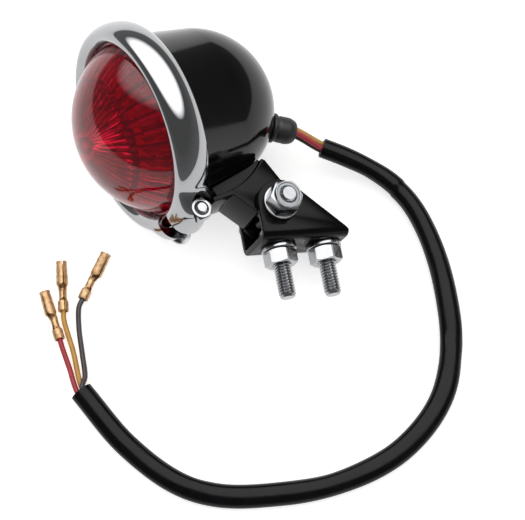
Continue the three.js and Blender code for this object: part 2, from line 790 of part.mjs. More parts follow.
keep("pivot_bolt", "zinc", along(ACROSS, add(pivotHead, pivotShank)));
const lockBody = hexPrism(NUT_FLATS, washerFace, nutFace, BOLT_HOLE_R);
const lockCollar = turned(
  [
    [nutFace - 0.6, LOCK_INSERT_R + 0.15],
    [nutFace - 0.6, LOCK_INSERT_R + 0.7],
    [nutFace + LOCK_INSERT_H, LOCK_INSERT_R + 0.7],
    [nutFace + LOCK_INSERT_H, LOCK_INSERT_R + 0.15],
    [nutFace - 0.6, LOCK_INSERT_R + 0.15],
  ],
  24,
);
keep("pivot_nut", "zinc", along(NEAR, add(lockBody, lockCollar)));
const insert = turned(
  [
    [nutFace + STACK_GAP, BOLT_HOLE_R - 0.2],
    [nutFace + STACK_GAP, LOCK_INSERT_R],
    [nutFace + LOCK_INSERT_H - 0.2, LOCK_INSERT_R],
    [nutFace + LOCK_INSERT_H - 0.2, BOLT_HOLE_R - 0.2],
    [nutFace + STACK_GAP, BOLT_HOLE_R - 0.2],
  ],
  20,
);
keep("pivot_nut_insert", "nylon", along(NEAR, insert));

// ---- foot bracket: a channel open at the back, with a pad that follows the housing ----
function circleThrough(a, b, c) {
  const d = 2 * (a[0] * (b[1] - c[1]) + b[0] * (c[1] - a[1]) + c[0] * (a[1] - b[1]));
  const sa = a[0] ** 2 + a[1] ** 2;
  const sb = b[0] ** 2 + b[1] ** 2;
  const sc = c[0] ** 2 + c[1] ** 2;
  const x = (sa * (b[1] - c[1]) + sb * (c[1] - a[1]) + sc * (a[1] - b[1])) / d;
  const z = (sa * (c[0] - b[0]) + sb * (a[0] - c[0]) + sc * (b[0] - a[0])) / d;
  return { x, z, r: Math.hypot(a[0] - x, a[1] - z) };
}
const saddle = circleThrough(FOOT_TIP, FOOT_ARC_SAG, FOOT_CORNER);
const tipAngle = Math.atan2(FOOT_TIP[1] - saddle.z, FOOT_TIP[0] - saddle.x);
const cornerAngle = Math.atan2(FOOT_CORNER[1] - saddle.z, FOOT_CORNER[0] - saddle.x);

const lowAngle = Math.atan2(FOOT_FRONT_LOW[1], FOOT_FRONT_LOW[0]);
const footSide = new THREE.Shape();
footSide.moveTo(FOOT_CORNER[0], FOOT_CORNER[1]);
footSide.lineTo(FOOT_FRONT_LOW[0], FOOT_FRONT_LOW[1]);
footSide.absarc(0, 0, FOOT_R, lowAngle, 0.35, false);
footSide.lineTo(FOOT_TIP[0] + 1.2, FOOT_TIP[1] - 0.6);
footSide.lineTo(FOOT_TIP[0], FOOT_TIP[1]);
footSide.absarc(saddle.x, saddle.z, saddle.r, tipAngle, cornerAngle, true);
// The hollow leaves the front web only: it is open below, behind and above.
const webRun = new THREE.Vector2(FOOT_FRONT_LOW[0] - FOOT_CORNER[0], FOOT_FRONT_LOW[1] - FOOT_CORNER[1]);
webRun.normalize();
const webIn = [-webRun.y * FOOT_THICK, webRun.x * FOOT_THICK];
const footHollow = polygon([
  [FOOT_CORNER[0] + webIn[0] - webRun.x * 6, FOOT_CORNER[1] + webIn[1] - webRun.y * 6],
  [FOOT_FRONT_LOW[0] + webIn[0], FOOT_FRONT_LOW[1] + webIn[1]],
  [FOOT_FRONT_LOW[0] - webIn[0] * 0.6, FOOT_FRONT_LOW[1] - webIn[1] * 0.6],
  [FOOT_FRONT_LOW[0] - webIn[0] * 0.6, -14],
  [14, -14],
  [14, 30],
  [-14, 30],
]);
const footInnerHalf = FOOT_HALF_WIDTH - FOOT_THICK;
const footShell = cut(
  plate(footSide, -FOOT_HALF_WIDTH, FOOT_HALF_WIDTH, 12),
  plate(footHollow, -footInnerHalf, footInnerHalf, 12),
);
const lipAngle = Math.atan2(FOOT_LIP_END[1] - FOOT_CORNER[1], FOOT_LIP_END[0] - FOOT_CORNER[0]);
const lipNormal = [-Math.sin(lipAngle) * FOOT_THICK, Math.cos(lipAngle) * FOOT_THICK];
const lipStart = [FOOT_CORNER[0] + 1.5, FOOT_CORNER[1] + 0.4];
const lip = plate(
  polygon([
    lipStart,
    [lipStart[0] + lipNormal[0], lipStart[1] + lipNormal[1]],
    [FOOT_LIP_END[0] + lipNormal[0], FOOT_LIP_END[1] + lipNormal[1]],
    FOOT_LIP_END,
  ]),
  -FOOT_HALF_WIDTH,
  FOOT_HALF_WIDTH,
);
// The pad lies between the channel and the housing, which it clears by the clearance.
const housingSolid = turned(
  [[0, 0], [0, BUCKET_FRONT_R + CLEARANCE], ...bucketOutside(CLEARANCE)],
  36,
).applyMatrix4(headMatrix);
const padReach = turned(
  [[0, 0], [0, BUCKET_FRONT_R + PAD_THICK], ...bucketOutside(PAD_THICK)],
  36,
).applyMatrix4(headMatrix);
const padOutline = polygon([
  [FOOT_CORNER[0] - 3.4, FOOT_CORNER[1] - 2],
  [FOOT_ARC_SAG[0], FOOT_ARC_SAG[1] - 3],
  [FOOT_TIP[0] + 0.2, FOOT_TIP[1] - 1],
  [FOOT_TIP[0] - 3, FOOT_TIP[1] + 4],
  [FOOT_CORNER[0] - 8, FOOT_CORNER[1] + 8],
]);
const padBlank = plate(padOutline, -FOOT_HALF_WIDTH, FOOT_HALF_WIDTH);
const pad = cut(common(padBlank, padReach), housingSolid);
const footBracket = cut(add(cut(footShell, housingSolid), lip, pad), pivotHole);
keep("foot_bracket", "satin_black", footBracket);

// ---- lay the lamp on its side and rest it on the table ----
const tableRight = RIGHT_HINT.clone().addScaledVector(TABLE_UP, -RIGHT_HINT.dot(TABLE_UP)).normalize();
const tableAway = new THREE.Vector3().crossVectors(TABLE_UP, tableRight);
const lay = new THREE.Matrix4().makeBasis(tableRight, tableAway, TABLE_UP).transpose();
const box = new THREE.Box3();
upright.forEach(({ geometry }) => {
  geometry.applyMatrix4(lay);
  geometry.computeBoundingBox();
  box.union(geometry.boundingBox);
});
const middle = box.getCenter(new THREE.Vector3());
const settle = new THREE.Matrix4().makeTranslation(-middle.x, -middle.y, -box.min.z);
upright.forEach(({ geometry }) => {
  geometry.applyMatrix4(settle);
});
const toTable = settle.clone().multiply(lay);

// ---- the lead: three wires in a loose sleeve, lying on the table ----
const tableUp = new THREE.Vector3(0, 0, 1);
const sleeveCurve = new THREE.CatmullRomCurve3(
  SLEEVE_ROUTE.map(([x, y, z]) => new THREE.Vector3(x, y, z)),
  false,
  "centripetal",
);

// A point beside the sleeve's centreline; the bundle turns slowly as it goes.
function inSleeve(share, startDeg) {
  const centre = sleeveCurve.getPointAt(share);
  const forward = sleeveCurve.getTangentAt(share);
  const left = new THREE.Vector3().crossVectors(tableUp, forward).normalize();
  const lift = new THREE.Vector3().crossVectors(forward, left);
  const angle = radians(startDeg + BUNDLE_TWIST_DEG * share);
  return centre
    .addScaledVector(left, WIRE_OFFSET * Math.cos(angle))
    .addScaledVector(lift, WIRE_OFFSET * Math.sin(angle));
}

function fromHead(point) {
  return point.applyMatrix4(headMatrix).applyMatrix4(toTable);
}

cords.push({
  name: "loom_sleeve",
  look: "sleeve_black",
  geometry: extrudeAlong(sleeveCurve, SLEEVE_R, 10, SLEEVE_STEPS, SLEEVE_BORE_R),
});

const connectorProfile = [
  [CLEARANCE, 0],
  [CLEARANCE, CRIMP_R],
  [CRIMP_L, CRIMP_R],
  [CRIMP_L + 1, NECK_R],
  [CRIMP_L + NECK_L, NECK_R],
  [CRIMP_L + NECK_L + 0.8, BARREL_R],
  [CRIMP_L + NECK_L + BARREL_L, BARREL_R],
  [CRIMP_L + NECK_L + BARREL_L, BARREL_BORE_R],
  [CRIMP_L + NECK_L + 1.6, BARREL_BORE_R],
  [CRIMP_L + NECK_L + 1.6, 0],
];

WIRES.forEach((wire) => {
  const end = TAILS[wire.colour];
  const heading = radians(end.headingDeg);
  const forward = new THREE.Vector3(Math.cos(heading), Math.sin(heading), 0);
  const crimp = new THREE.Vector3(end.crimp[0], end.crimp[1], CONNECTOR_Z);
  const inside = [...Array(SLEEVE_SAMPLES + 1).keys()].map((i) => {
    return inSleeve(i / SLEEVE_SAMPLES, wire.sleeveDeg);
  });
  const route = [
    fromHead(grommetPoint(wire, innerEnd + 0.6)),
    fromHead(grommetPoint(wire, GROMMET_BOOT_H * 0.5)),
    fromHead(grommetPoint(wire, GROMMET_BOOT_H + 0.6)),
    ...inside,
    ...end.by.map(([x, y, z]) => new THREE.Vector3(x, y, z)),
    crimp.clone().addScaledVector(forward, -2.5),
    crimp,
  ];
  cords.push({
    name: `wire_${wire.colour}`,
    look: `wire_${wire.colour}`,
    geometry: tube(route, WIRE_R, 8, WIRE_STEPS),
  });
  const connector = along(forward, turned(connectorProfile, 12));
  connector.translate(crimp.x, crimp.y, crimp.z);
  cords.push({ name: `connector_${wire.colour}`, look: "brass", geometry: connector });
});

function place(name, look, geometry) {
  const mesh = new THREE.Mesh(geometry, new THREE.MeshStandardMaterial(LOOKS[look]));
  mesh.name = name;
  group.add(mesh);
}

upright.forEach(({ name, look, geometry }) => place(name, look, geometry));
cords.forEach(({ name, look, geometry }) => place(name, look, geometry));

export default group;
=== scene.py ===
"""Looks of a small round motorcycle tail light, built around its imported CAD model.

Shapes are made in millimetres, either in the lamp's upright frame (pivot at the origin, +X towards
the back, +Y across, +Z up from the mounting face) or on the lamp's own axis, and are then laid on
the table in metres.
"""

import json
import math

import bmesh
import bpy
from mathutils import Matrix, Vector, noise


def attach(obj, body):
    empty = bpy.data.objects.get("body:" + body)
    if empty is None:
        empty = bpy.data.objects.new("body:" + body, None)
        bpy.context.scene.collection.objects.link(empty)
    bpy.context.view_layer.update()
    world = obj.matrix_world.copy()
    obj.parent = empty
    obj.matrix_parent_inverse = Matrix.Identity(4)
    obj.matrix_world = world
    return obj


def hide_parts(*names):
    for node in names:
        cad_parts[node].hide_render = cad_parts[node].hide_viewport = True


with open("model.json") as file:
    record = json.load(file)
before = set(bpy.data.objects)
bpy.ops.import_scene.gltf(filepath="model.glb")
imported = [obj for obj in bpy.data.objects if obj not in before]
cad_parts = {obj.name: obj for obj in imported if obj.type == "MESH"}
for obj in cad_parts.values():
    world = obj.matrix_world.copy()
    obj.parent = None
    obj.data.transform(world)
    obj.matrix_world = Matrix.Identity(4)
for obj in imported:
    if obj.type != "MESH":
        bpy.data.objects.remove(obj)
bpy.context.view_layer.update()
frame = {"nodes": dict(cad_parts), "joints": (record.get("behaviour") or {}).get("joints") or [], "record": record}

MM = 0.001
TAU = 2 * math.pi
rad = math.radians
sin, cos = math.sin, math.cos

# ---- dimensions, millimetres ----
STACK_GAP = 0.05
CLEARANCE = 0.3
HEAD_TILT_DEG = 17
RING_CENTRE = (-28.8, 0, 42.9)
RING_MEAN_R = 32.4
RING_AXIAL, RING_RADIAL, RING_WALL = 6.2, 3.5, 1.2
RING_FRONT_CURL, RING_REAR_CURL = -150, 119
SPLIT_NEAR_Y, SPLIT_FAR_Y = -1.5, 7.0
CLAMP_BELOW, CLAMP_BEHIND = 35.9, 1.2
LUG_NEAR_Y, LUG_FAR_Y = -10.4, 10.2
DOME_R, DOME_CENTRE, LENS_THICK = 31.65, 10.35, 2.2
FLANGE_FRONT, FLANGE_BACK, FLANGE_R = -2.4, -0.4, 33.0
RIM_FRONT, RIM_BACK, RIM_R = 1.4, 2.9, 33.2
BUCKET_FRONT_R, BUCKET_BACK_R, BUCKET_CENTRE = 30.1, 27.6, 20.5
BUCKET_SLOPE_DEG, BUCKET_WALL = 8.7, 1.5
GROMMET_DROP_DEG, BOOT_H = 31, 9.2
BASE_HALF, BASE_THICK, BASE_BOTTOM = 10, 2, -11.7
BASE_FRONT_X, BASE_REAR_X, BASE_BEND_R = -7.5, 23.4, 3.2
EAR_X, EAR_Z, EAR_R, EAR_SLOPE_DEG, EAR_HEEL_Z = 0.8, 0.2, 8.3, 46.4, -9.6
STUD_X = {"front": 1.0, "rear": 17.5}
STUD_TIP_Z = -29.6
BOLT_R, BOLT_HOLE_R = 2.95, 3.3
FOOT_HALF, FOOT_THICK, FOOT_R = 7.7, 1.7, 7.6
FOOT_TIP, FOOT_CORNER, FOOT_LOW = (-2.4, 17.2), (-16.2, 6.0), (-7.4, -1.7)
FOOT_SAG, FOOT_LIP_END, PAD_THICK = (-7.7, 10.9), (-22.2, 4.0), 4.4
BOARD_FRONT = 8.5
WIRE_R, WIRE_OFFSET, BUNDLE_TWIST_DEG = 0.9, 1.3, -120
SLEEVE_R, SLEEVE_BORE_R = 3.5, 2.9
SLEEVE_SAMPLES = 24
CONNECTOR_Z = 1.9

SLEEVE_ROUTE = [
    (37.9, 12.4, 9.6), (46.2, 9.8, 7.6), (55.1, 5.9, 5.8), (63, 0.5, 4.5),
    (69.3, -7.2, 3.8), (75.5, -21.2, 3.6), (79.4, -37.5, 3.6), (80.8, -57, 3.6),
    (76.7, -75.8, 3.6), (63.4, -92.7, 3.6), (42.3, -103.7, 3.6), (19.4, -107.7, 3.6),
    (3.6, -107.7, 3.6), (-9, -103.9, 3.6), (-26, -91.6, 3.6), (-41.9, -73.5, 3.6),
]
# Each wire: its place in the grommet and in the sleeve, then its way to its connector.
WIRES = {
    "red": (210, 120, [(-46.6, -65, 1.9)], (-50.3, -55.3), 109),
    "yellow": (90, 0, [(-45.8, -58.9, 1.2)], (-49.7, -45.4), 95.4),
    "black": (330, 240, [(-41, -68.3, 3), (-42.6, -60, 1.2), (-44.3, -50.5, 1.2)],
              (-43.6, -41), 68),
}

# ---- frames ----
joint = frame["joints"][0]
mount = frame["record"]["mounts"][0]
across = -Vector(joint["axis"]).normalized()
up = -Vector(mount["axis"]).normalized()
aft = across.cross(up).normalized()
LAID = (
    Matrix.Translation(joint["pos_m"])
    @ Matrix((aft, across, up)).transposed().to_4x4()
    @ Matrix.Scale(MM, 4)
)
LAMP = LAID @ Matrix.Rotation(-rad(HEAD_TILT_DEG), 4, "Y") @ Matrix.Translation(RING_CENTRE)
TABLE = Matrix.Scale(MM, 4)


def along(direction, at=(0, 0, 0)):
    """Turns +X towards a direction, then moves to a place."""
    turn = Vector((1, 0, 0)).rotation_difference(Vector(direction))
    return Matrix.Translation(at) @ turn.to_matrix().to_4x4()


# ---- camera ----
camera_data = bpy.data.cameras.new("camera")
camera_data.lens = 99.7
camera_data.sensor_width = 36
camera_data.sensor_fit = "HORIZONTAL"
camera_data.clip_start = 0.01
camera = bpy.data.objects.new("camera", camera_data)
bpy.context.scene.collection.objects.link(camera)
back = Vector((0.0254, -0.3501, 0.9364)).normalized()
right = Vector((0.9997, 0.0113, -0.0229))
right = (right - back * right.dot(back)).normalized()
camera.matrix_world = (
    Matrix.Translation(Vector((30.2, -200.6, 468.1)) * MM)
    @ Matrix((right, back.cross(right), back)).transposed().to_4x4()
)
bpy.context.scene.camera = camera


# ---- materials ----
def new_material(name):
    made = bpy.data.materials.new(name)
    made.use_nodes = True
    tree = made.node_tree
    return made, tree, tree.nodes["Principled BSDF"]


def noise_node(tree, coordinates, feature_mm, detail=2.0):
    node = tree.nodes.new("ShaderNodeTexNoise")
    node.inputs["Scale"].default_value = 1000 / feature_mm
    node.inputs["Detail"].default_value = detail
    tree.links.new(coordinates, node.inputs["Vector"])
    return node.outputs["Fac"]


def map_range(tree, value, low, high, start=0.35, end=0.65):
    node = tree.nodes.new("ShaderNodeMapRange")
    for key, number in (("From Min", start), ("From Max", end), ("To Min", low), ("To Max", high)):
        node.inputs[key].default_value = number
    tree.links.new(value, node.inputs["Value"])
    return node.outputs["Result"]


def mix_colour(tree, factor, first, second):
    node = tree.nodes.new("ShaderNodeMix")
    node.data_type = "RGBA"
    tree.links.new(factor, node.inputs[0])
    for slot, colour in ((6, first), (7, second)):
        if hasattr(colour, "is_output"):
            tree.links.new(colour, node.inputs[slot])
        else:
            node.inputs[slot].default_value = (*colour, 1)
    return node.outputs[2]


def surface(name, colour, rough, metallic=0.0, rough_mm=3.0, bump_mm=0.5, depth_mm=0.01,
            tint=0.06, tint_mm=7.0, second=None, **sockets):
    """A Principled material whose roughness, colour and bump vary over the surface."""
    made, tree, shader = new_material(name)
    place = tree.nodes.new("ShaderNodeTexCoord").outputs["Object"]
    low, high = rough
    rough_value = map_range(tree, noise_node(tree, place, rough_mm, 4.0), low, high)
    tree.links.new(rough_value, shader.inputs["Roughness"])
    darker = [max(0.0, c * (1 - tint)) for c in colour]
    lighter = second or [min(1.0, c * (1 + tint)) for c in colour]
    factor = map_range(tree, noise_node(tree, place, tint_mm, 3.0), 0, 1)
    tree.links.new(mix_colour(tree, factor, darker, lighter), shader.inputs["Base Color"])
    bump = tree.nodes.new("ShaderNodeBump")
    bump.inputs["Strength"].default_value = 1.0
    bump.inputs["Distance"].default_value = depth_mm * MM
    tree.links.new(noise_node(tree, place, bump_mm, 3.0), bump.inputs["Height"])
    tree.links.new(bump.outputs["Normal"], shader.inputs["Normal"])
    shader.inputs["Metallic"].default_value = metallic
    for key, value in sockets.items():
        shader.inputs[key.replace("_", " ")].default_value = value
    return made


LOOKS = {
    "chrome": surface("chrome", (0.385, 0.39, 0.40), (0.035, 0.07), 1.0, 4, 2.5, 0.003, 0.02),
    "gloss_black": surface("gloss_black", (0.003, 0.003, 0.0034), (0.07, 0.12), 0, 6, 1.6, 0.003,
                           0.15, Specular_IOR_Level=0.35),
    "satin_black": surface("satin_black", (0.0035, 0.0035, 0.004), (0.15, 0.20), 0, 5, 0.7, 0.004,
                           0.15, Specular_IOR_Level=0.13),
    "zinc": surface("zinc", (0.37, 0.375, 0.385), (0.15, 0.24), 1.0, 2.2, 0.6, 0.005, 0.05, 2.5),
    # painted shade: a darker zinc for the roots of the threads, standing in for the shade between the flanks
    "zinc_painted_root_shade": surface("zinc_painted_root_shade", (0.26, 0.26, 0.27), (0.35, 0.5), 1.0, 1.2, 0.4, 0.01, 0.2, 1),
    "red_lens": surface("red_lens", (0.78, 0.003, 0.040), (0.012, 0.03), 0, 6, 3, 0.003, 0.05,
                        Transmission_Weight=0.9, IOR=1.49),
    # painted shade: a dark red for the edges of the lens's flutes and facets, standing in for the dark lines that
    # refraction makes there
    "flute_edge_painted_shade": surface("flute_edge_painted_shade", (0.05, 0.001, 0.004), (0.05, 0.12), 0, 6, 3, 0.003, 0.1,
                          Transmission_Weight=0.7, IOR=1.49),
    "white_plastic": surface("white_plastic", (0.78, 0.78, 0.75), (0.35, 0.5), 0, 2, 0.5, 0.01),
    "board_green": surface("board_green", (0.02, 0.12, 0.05), (0.3, 0.5), 0, 1.5, 0.8, 0.02,
                           0.2, 1.2, second=(0.05, 0.25, 0.10)),
    "led_resin": surface("led_resin", (0.75, 0.03, 0.04), (0.06, 0.14), 0, 2, 0.6, 0.004, 0.1,
                         Transmission_Weight=0.5, IOR=1.5),
    "grommet_rubber": surface("grommet_rubber", (0.012, 0.012, 0.012), (0.42, 0.58), 0, 1.5,
                              0.35, 0.012, 0.2),
    "gasket_rubber": surface("gasket_rubber", (0.014, 0.014, 0.014), (0.6, 0.8), 0, 1.5, 0.4,
                             0.02, 0.2),
    "nylon": surface("nylon", (0.62, 0.66, 0.70), (0.3, 0.45), 0, 1.5, 0.5, 0.01, 0.05,
                     Subsurface_Weight=0.2, Subsurface_Scale=0.001),
    "sleeve_black": surface("sleeve_black", (0.004, 0.004, 0.005), (0.16, 0.27), 0, 6, 3.2, 0.05,
                            0.2, 9, Specular_IOR_Level=0.16),
    "wire_yellow": surface("wire_yellow", (0.68, 0.36, 0.06), (0.32, 0.45), 0, 2, 0.5, 0.01,
                           0.08, 3),
    "wire_red": surface("wire_red", (0.46, 0.022, 0.035), (0.32, 0.45), 0, 2, 0.5, 0.01, 0.08, 3),
    "wire_black": surface("wire_black", (0.045, 0.036, 0.034), (0.32, 0.45), 0, 2, 0.5, 0.01,
                          0.15, 3),
    "brass": surface("brass", (0.56, 0.34, 0.16), (0.42, 0.58), 0.9, 1.2, 0.5, 0.012, 0.12, 1.6,
                     second=(0.66, 0.45, 0.26)),
    "copper": surface("copper", (0.70, 0.33, 0.18), (0.25, 0.4), 1.0, 1, 0.3, 0.02, 0.1, 0.8),
}


# ---- mesh helpers ----
def make(name, verts, faces):
    mesh = bpy.data.meshes.new(name)
    mesh.from_pydata([tuple(v) for v in verts], [], faces)
    work = bmesh.new()
    work.from_mesh(mesh)
    bmesh.ops.remove_doubles(work, verts=work.verts, dist=1e-4)
    bmesh.ops.dissolve_degenerate(work, edges=work.edges, dist=1e-5)
    bmesh.ops.recalc_face_normals(work, faces=work.faces)
    work.to_mesh(mesh)
    work.free()
    made = bpy.data.objects.new(name, mesh)
    bpy.context.scene.collection.objects.link(made)
    return made


def sheet(rows, loop_rows=False, loop_across=True, caps=False):
    """Quads between rows of points that all have the same count."""
    count = len(rows[0])
    verts = [point for row in rows for point in row]
    last = len(rows) if loop_rows else len(rows) - 1
    wide = count if loop_across else count - 1
    faces = []
    for i in range(last):
        a, b = i * count, ((i + 1) % len(rows)) * count
        faces += [(a + j, a + (j + 1) % count, b + (j + 1) % count, b + j) for j in range(wide)]
    if caps:
        faces.append(tuple(range(count)))
        faces.append(tuple(range(len(verts) - 1, len(verts) - count - 1, -1)))
    return verts, faces


def spun(name, profile_of, sides, loop=False):
    """A surface turned about +X. profile_of(angle) gives (along, radius) pairs."""
    if not callable(profile_of):
        profile = profile_of
        profile_of = lambda angle: profile
    rows = []
    for j in range(sides):
        angle = TAU * j / sides
        rows.append([(x, r * cos(angle), r * sin(angle)) for x, r in profile_of(angle)])
    return make(name, *sheet(rows, loop_rows=True, loop_across=loop))


def soften(points, radius, steps=3, loop=True):
    """Rounds the corners of an outline."""
    result = []
    count = len(points)
    for i, here in enumerate(points):
        if not loop and i in (0, count - 1):
            result.append(tuple(here))
            continue
        p = Vector(here)
        before, after = Vector(points[i - 1]) - p, Vector(points[(i + 1) % count]) - p
        if min(before.length, after.length) < 1e-6 or before.angle(after) > rad(165):
            result.append(tuple(here))
            continue
        a = p + before.normalized() * min(radius, before.length * 0.45)
        b = p + after.normalized() * min(radius, after.length * 0.45)
        for step in range(steps + 1):
            t = step / steps
            result.append(tuple(a * (1 - t) ** 2 + p * 2 * t * (1 - t) + b * t * t))
    return result


def arc(x, z, radius, start, end, steps):
    """Points of an arc, angles in radians."""
    angles = [start + (end - start) * i / steps for i in range(steps + 1)]
    return [(x + radius * cos(a), z + radius * sin(a)) for a in angles]


def prism(name, outline, low, high, axis="Y"):
    """An outline in X and Z made thick across Y, or one in Y and Z made thick along X."""
    lay = (lambda p, q, t: (p, t, q)) if axis == "Y" else (lambda p, q, t: (t, p, q))
    return make(name, *sheet([[lay(p, q, t) for p, q in outline] for t in (low, high)], caps=True))


def settle(item):
    """Applies an object's modifiers to its mesh."""
    bpy.context.view_layer.update()
    graph = bpy.context.evaluated_depsgraph_get()
    done = bpy.data.meshes.new_from_object(item.evaluated_get(graph))
    item.modifiers.clear()
    old, item.data = item.data, done
    bpy.data.meshes.remove(old)


def combine(target, *tools, operation="DIFFERENCE"):
    for tool in tools:
        step = target.modifiers.new("combine", "BOOLEAN")
        step.operation, step.solver, step.object = operation, "EXACT", tool
        settle(target)
        bpy.data.meshes.remove(tool.data)
    return target


def bevel(item, width, steps=3, angle=32):
    step = item.modifiers.new("bevel", "BEVEL")
    step.width, step.segments, step.limit_method = width, steps, "ANGLE"
    step.angle_limit, step.use_clamp_overlap = rad(angle), False
    settle(item)


def finished(item, look, matrix, nodes, body="head", sharp=35):
    """Lays a shape in place, gives it its look and hides the CAD nodes it stands for."""
    item.data.transform(matrix)
    item.data.materials.clear()
    item.data.materials.append(LOOKS[look])
    item.data.shade_smooth()
    item.data.set_sharp_from_angle(angle=rad(sharp))
    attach(item, body)
    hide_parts(*nodes)
    return item


def rod(name, radius, low, high, matrix, sides=48):
    made = spun(name, [(low, 0), (low, radius), (high, radius), (high, 0)], sides)
    made.data.transform(matrix)
    return made


def smoothstep(value):
    value = min(max(value, 0.0), 1.0)
    return value * value * (3 - 2 * value)


def even_curve(points, count):
    """Evenly spaced points on a centripetal Catmull-Rom curve."""
    points = [Vector(p) for p in points]
    ends = [2 * points[0] - points[1], *points, 2 * points[-1] - points[-2]]
    dense = []
    for i in range(len(points) - 1):
        p = ends[i : i + 4]
        t = [0.0]
        for a, b in zip(p, p[1:]):
            t.append(t[-1] + (b - a).length ** 0.5)
        for step in range(24):
            x = t[1] + (t[2] - t[1]) * step / 24
            a1 = p[0].lerp(p[1], (x - t[0]) / (t[1] - t[0]))
            a2 = p[1].lerp(p[2], (x - t[1]) / (t[2] - t[1]))
            a3 = p[2].lerp(p[3], (x - t[2]) / (t[3] - t[2]))
            b1 = a1.lerp(a2, (x - t[0]) / (t[2] - t[0]))
            b2 = a2.lerp(a3, (x - t[1]) / (t[3] - t[1]))
            dense.append(b1.lerp(b2, (x - t[1]) / (t[2] - t[1])))
    dense.append(points[-1])
    reached = [0.0]
    for a, b in zip(dense, dense[1:]):
        reached.append(reached[-1] + (b - a).length)
    result, k = [], 0
    for i in range(count + 1):
        goal = reached[-1] * i / count
        while k < len(dense) - 2 and reached[k + 1] < goal:
            k += 1
        span = reached[k + 1] - reached[k]
        result.append(dense[k].lerp(dense[k + 1], (goal - reached[k]) / span))
    return result


def directions(path):
    """Forward, left and lift of each point of a path that lies on the table."""
    result = []
    for i in range(len(path)):
        forward = (path[min(i + 1, len(path) - 1)] - path[max(i - 1, 0)]).normalized()
        left = Vector((0, 0, 1)).cross(forward).normalized()
        result.append((forward, left, forward.cross(left)))
    return result


# ---- cords ----
grommet_out = Vector((cos(rad(GROMMET_DROP_DEG)), 0, -sin(rad(GROMMET_DROP_DEG))))
grommet_side = Vector((0, 1, 0))
grommet_lift = grommet_out.cross(grommet_side)
grommet_seat = Vector((BUCKET_CENTRE, 0, 0)) + grommet_out * BUCKET_BACK_R


def grommet_point(bundle_deg, distance):
    spot = grommet_seat + grommet_out * distance
    spot += grommet_side * WIRE_OFFSET * cos(rad(bundle_deg))
    spot += grommet_lift * WIRE_OFFSET * sin(rad(bundle_deg))
    return (LAMP @ spot) / MM


sleeve_path = even_curve(SLEEVE_ROUTE, 240)
# Where the soft sleeve is pinched: share of its length, depth, half width, turn in degrees.
PINCHES = [(0.07, 0.05, 0.02, 20), (0.345, 0.10, 0.012, 70), (0.375, 0.05, 0.02, 10),
           (0.62, 0.05, 0.03, 0), (0.80, 0.10, 0.014, 60), (0.86, 0.06, 0.02, 110)]


def sleeve_rows(base_r):
    rows = []
    for i, (spot, (forward, left, lift)) in enumerate(zip(sleeve_path, directions(sleeve_path))):
        share = i / (len(sleeve_path) - 1)
        lying = smoothstep((share - 0.12) / 0.25)
        wide, tall = base_r * (0.98 + 0.13 * lying), base_r * (0.99 - 0.08 * lying)
        row = []
        for j in range(32):
            angle = TAU * j / 32
            scale = 1.0
            for at, depth, half, turn in PINCHES:
                fall = math.exp(-(((share - at) / half) ** 2))
                scale -= depth * fall * (0.5 + 0.5 * cos(2 * (angle - rad(turn))))
            ripple = 0.012 * noise.noise(Vector((share * 22, 1.3 * cos(angle), 1.3 * sin(angle))))
            scale += ripple
            row.append(spot + left * wide * scale * cos(angle) + lift * tall * scale * sin(angle))
        rows.append(row)
    return rows


def lowered(rows):
    """Lets each ring of a tube that lies on the table touch it."""
    for row in rows:
        low = min(point.z for point in row)
        if low < 0.9:
            for point in row:
                point.z -= low - 0.05
    return rows


outer = lowered(sleeve_rows(SLEEVE_R))
inner = sleeve_rows(SLEEVE_BORE_R)
for rows_out, rows_in in zip(outer, inner):
    shift = (sum((p for p in rows_out), Vector()) - sum((p for p in rows_in), Vector())) / 32
    for point in rows_in:
        point += shift
mouth = [[a.lerp(b, 0.5) + d * 0.12 for a, b in zip(outer[k], inner[k])]
         for k, d in ((0, -directions(sleeve_path)[0][0]), (-1, directions(sleeve_path)[-1][0]))]
sleeve = make("sleeve", *sheet([mouth[0], *outer, mouth[1], *reversed(inner)], loop_rows=True))
finished(sleeve, "sleeve_black", TABLE, ["loom_sleeve"], sharp=60)


def in_sleeve(share, start_deg):
    index = round(share * (len(sleeve_path) - 1))
    forward, left, lift = directions(sleeve_path)[index]
    angle = rad(start_deg + BUNDLE_TWIST_DEG * share)
    return sleeve_path[index] + left * WIRE_OFFSET * cos(angle) + lift * WIRE_OFFSET * sin(angle)


# Stations of a bullet connector: along, radius, opening of the seam in degrees.
CONNECTOR = [
    (0.3, 1.72, 10), (0.5, 1.80, 8), (3.4, 1.80, 8), (3.8, 1.72, 14), (4.3, 1.42, 120),
    (4.9, 1.30, 40), (5.3, 1.28, 16), (7.4, 1.28, 16), (7.8, 1.36, 60), (8.3, 1.45, 150),
    (9.2, 1.48, 150), (9.8, 1.72, 40), (10.3, 1.84, 13), (13.4, 1.80, 13), (13.8, 1.70, 13),
    (14.4, 1.70, 13), (14.8, 1.78, 13), (17.4, 1.66, 13), (17.8, 1.70, 13), (18.2, 1.76, 13),
]
CONNECTOR_SHEET = 0.34
CONNECTOR_SEAM = {"red": 35, "yellow": -20, "black": -50}
CONNECTOR_BEND = {"red": 0.45, "yellow": 0.1, "black": -0.45}


